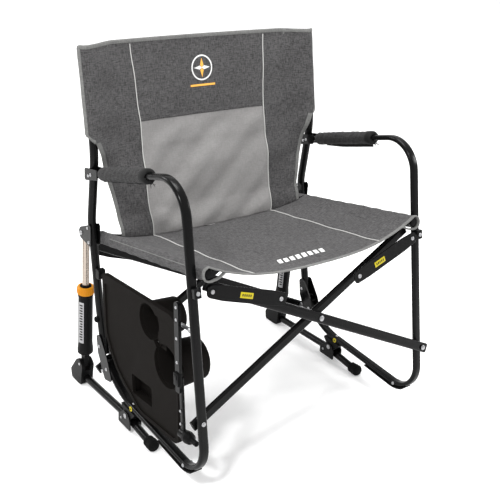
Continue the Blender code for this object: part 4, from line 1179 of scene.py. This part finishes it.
def strut_details(side, sign):
    """Printed label, clamp ring, ribbed collar and seal of one strut."""
    low = Vector((SIDE_X * sign, STRUT_LOW.y, STRUT_LOW.z))
    across = STRUT_WAY.cross(X_AXIS).normalized()
    if across.y > 0:
        across = -across
    strut_label(side, low, across)

    ring = bmesh.new()
    turned_into(ring, low + STRUT_WAY * 0.193, STRUT_WAY,
                [(-0.001, 0.0181), (0, 0.0192), (0.004, 0.0192), (0.005, 0.0183)], 36)
    for way in ring_of(Vector(), X_AXIS, across, 1, 1, 24):
        block_into(ring, low + STRUT_WAY * 0.2088 + way * 0.0209, (0.0012, 0.013, 0.0016),
                   (STRUT_WAY.cross(way), STRUT_WAY, way), 0.0004, 1)
    from_bmesh(f"strut_ribs_{side}", ring, [MATERIALS["black_plastic"], MATERIALS["amber_plastic"]],
               f"strut_cylinder_{side}", "amber_plastic")

    seal = bmesh.new()
    turned_into(seal, low + STRUT_WAY * 0.2192, STRUT_WAY,
                [(0, 0.014), (0.0016, 0.0138), (0.0034, 0.0108), (0.0042, 0.0092), (0.003, 0.0089)], 32)
    fitting(f"strut_seal_{side}", seal, "rubber", f"strut_cylinder_{side}")


def stay_details():
    """Rivets and sliding latch of the table's stay."""
    along = 0.3385
    heads = bmesh.new()
    for x, radius, places in ((-0.3306, 0.0034, (-0.033, -0.006, 0.036, 0.09)),
                              (-0.325, 0.0032, (0.205, 0.236))):
        for down in places:
            rivet_into(heads, table_point(x, along, down), -X_AXIS, radius)
    fitting("rivets_stay", heads, "zinc", "table_stay")

    latch = bmesh.new()
    block_into(latch, table_point(-0.33, along, 0.128), (0.0185, 0.03, 0.01), TABLE_AXES, 0.0025)
    block_into(latch, table_point(-0.3345, along, 0.122), (0.011, 0.012, 0.004), TABLE_AXES, 0.0015)
    fitting("stay_latch", latch, "black_plastic", "table_stay")


def table_back():
    """Ribs, the phone slot's pocket and the plate behind the cups' neck, all on the table's inner face."""
    face = -0.3083
    ribs = bmesh.new()
    for along in (0.075, 0.11, 0.145):
        block_into(ribs, table_point(face, along, 0.105), (0.0022, 0.12, 0.0036), TABLE_AXES, 0.0008)
    for down in (0.06, 0.105, 0.15):
        block_into(ribs, table_point(face, 0.11, down), (0.1, 0.0022, 0.0034), TABLE_AXES, 0.0008)
    fitting("table_ribs", ribs, "table_plastic", "side_table")

    pocket = bmesh.new()
    low_a, high_a, low_d, high_d, deep, wall = 0.116, 0.2114, 0.2075, 0.2627, 0.016, 0.0016
    middle_a, middle_d = (low_a + high_a) / 2, (low_d + high_d) / 2
    long, tall = high_a - low_a, high_d - low_d
    places = [(deep, middle_a, middle_d, (long, tall, 0.0014)),
              (0.004, 0.2385, 0.0875, (0.034, 0.034, 0.0014))]
    places += [(deep / 2, along, middle_d, (wall, tall, deep)) for along in (low_a, high_a)]
    places += [(deep / 2, middle_a, down, (long, wall, deep)) for down in (low_d, high_d)]
    for behind, along, down, size in places:
        block_into(pocket, table_point(face - 0.0001 + behind, along, down), size, TABLE_AXES, 0.0004)
    fitting("table_phone_pocket", pocket, "table_plastic", "side_table")


# ---------------- stage, light and camera
def studio_floor():
    """A pale paper sweep."""
    target = bmesh.new()
    profile = [(along, 0) for along in (-6, -3, 0, 3)]
    profile += [(3 + 2 * math.sin(turn), 2 - 2 * math.cos(turn)) for turn in steps(0, math.pi / 2, 8)[1:]]
    profile.append((5, 6))
    verts = [[target.verts.new((x, along, up)) for x in (-6, -2, 2, 6)] for along, up in profile]
    for near, far in zip(verts, verts[1:]):
        for j in range(3):
            target.faces.new((near[j], near[j + 1], far[j + 1], far[j]))
    floor = bpy.data.meshes.new("floor")
    target.to_mesh(floor)
    target.free()
    floor.shade_smooth()
    paper, tree, shader = new_material("floor_paper", (0.93, 0.93, 0.93), 0.9, specular=0.1)
    grain = texture(tree, "ShaderNodeTexNoise", 30)
    tone = spread(tree, grain.outputs["Fac"], 0.3, 0.7, ((0.92, 0.92, 0.92), (0.94, 0.94, 0.94)))
    tree.links.new(tone, shader.inputs["Base Color"])
    shader.inputs["Emission Color"].default_value = (1, 1, 1, 1)
    shader.inputs["Emission Strength"].default_value = 0.14
    floor.materials.append(paper)
    made = bpy.data.objects.new("studio_floor", floor)
    bpy.context.collection.objects.link(made)


def studio_light():
    """A white world and four soft lamps that face the seat."""
    world = bpy.data.worlds.new("studio")
    bpy.context.scene.world = world
    world.use_nodes = True
    background = world.node_tree.nodes["Background"]
    background.inputs["Color"].default_value = (1, 1, 1, 1)
    background.inputs["Strength"].default_value = 0.85
    for name, place, size, power in (("key", (-2.2, -1.2, 2.8), 0.4, 60), ("fill", (2.6, -1.6, 1.8), 0.9, 32),
                                     ("top", (0.2, 0.3, 3.2), 1.6, 80), ("rim", (-1.8, 2.2, 2), 0.6, 30)):
        light = bpy.data.lights.new(name, 'AREA')
        light.shape, light.size, light.energy = 'DISK', size, power
        lamp = bpy.data.objects.new(name, light)
        lamp.location = place
        lamp.rotation_euler = (Vector((0, 0, 0.4)) - Vector(place)).to_track_quat('-Z', 'Y').to_euler()
        bpy.context.collection.objects.link(lamp)
    bpy.context.scene.view_settings.view_transform = 'Standard'


def camera():
    """Ahead of the chair, to the sitter's right, a little above the back."""
    data = bpy.data.cameras.new("camera")
    data.lens, data.sensor_width = 65.08, 36
    data.shift_x, data.shift_y = -0.00756, -0.0311
    data.clip_start, data.clip_end = 0.05, 30
    made = bpy.data.objects.new("camera", data)
    right, up = Vector((0.80118, -0.59515, 0.06255)), Vector((0.1862, 0.34726, 0.9191))
    forward = Vector((0.56872, 0.72471, -0.38903))
    turn = Matrix([right, up, -forward]).transposed().to_4x4()
    made.matrix_world = Matrix.Translation((-1.21405, -1.54854, 1.27291)) @ turn
    bpy.context.collection.objects.link(made)
    bpy.context.scene.camera = made


camera()
studio_floor()
studio_light()
rigid_pieces()
seat()
for part_side, part_sign in SIDES:
    seat_sleeve_end(part_side, part_sign)
back()
for makers in ((arm_pad, arm_pad_strap), (frame_rivets, post_bumper, ground_rivets, link_rivets, link_sticker,
                                          rail_sticker, rail_caps, strut_details)):
    for part_side, part_sign in SIDES:
        for make in makers:
            make(part_side, part_sign)
stay_details()
table_back()
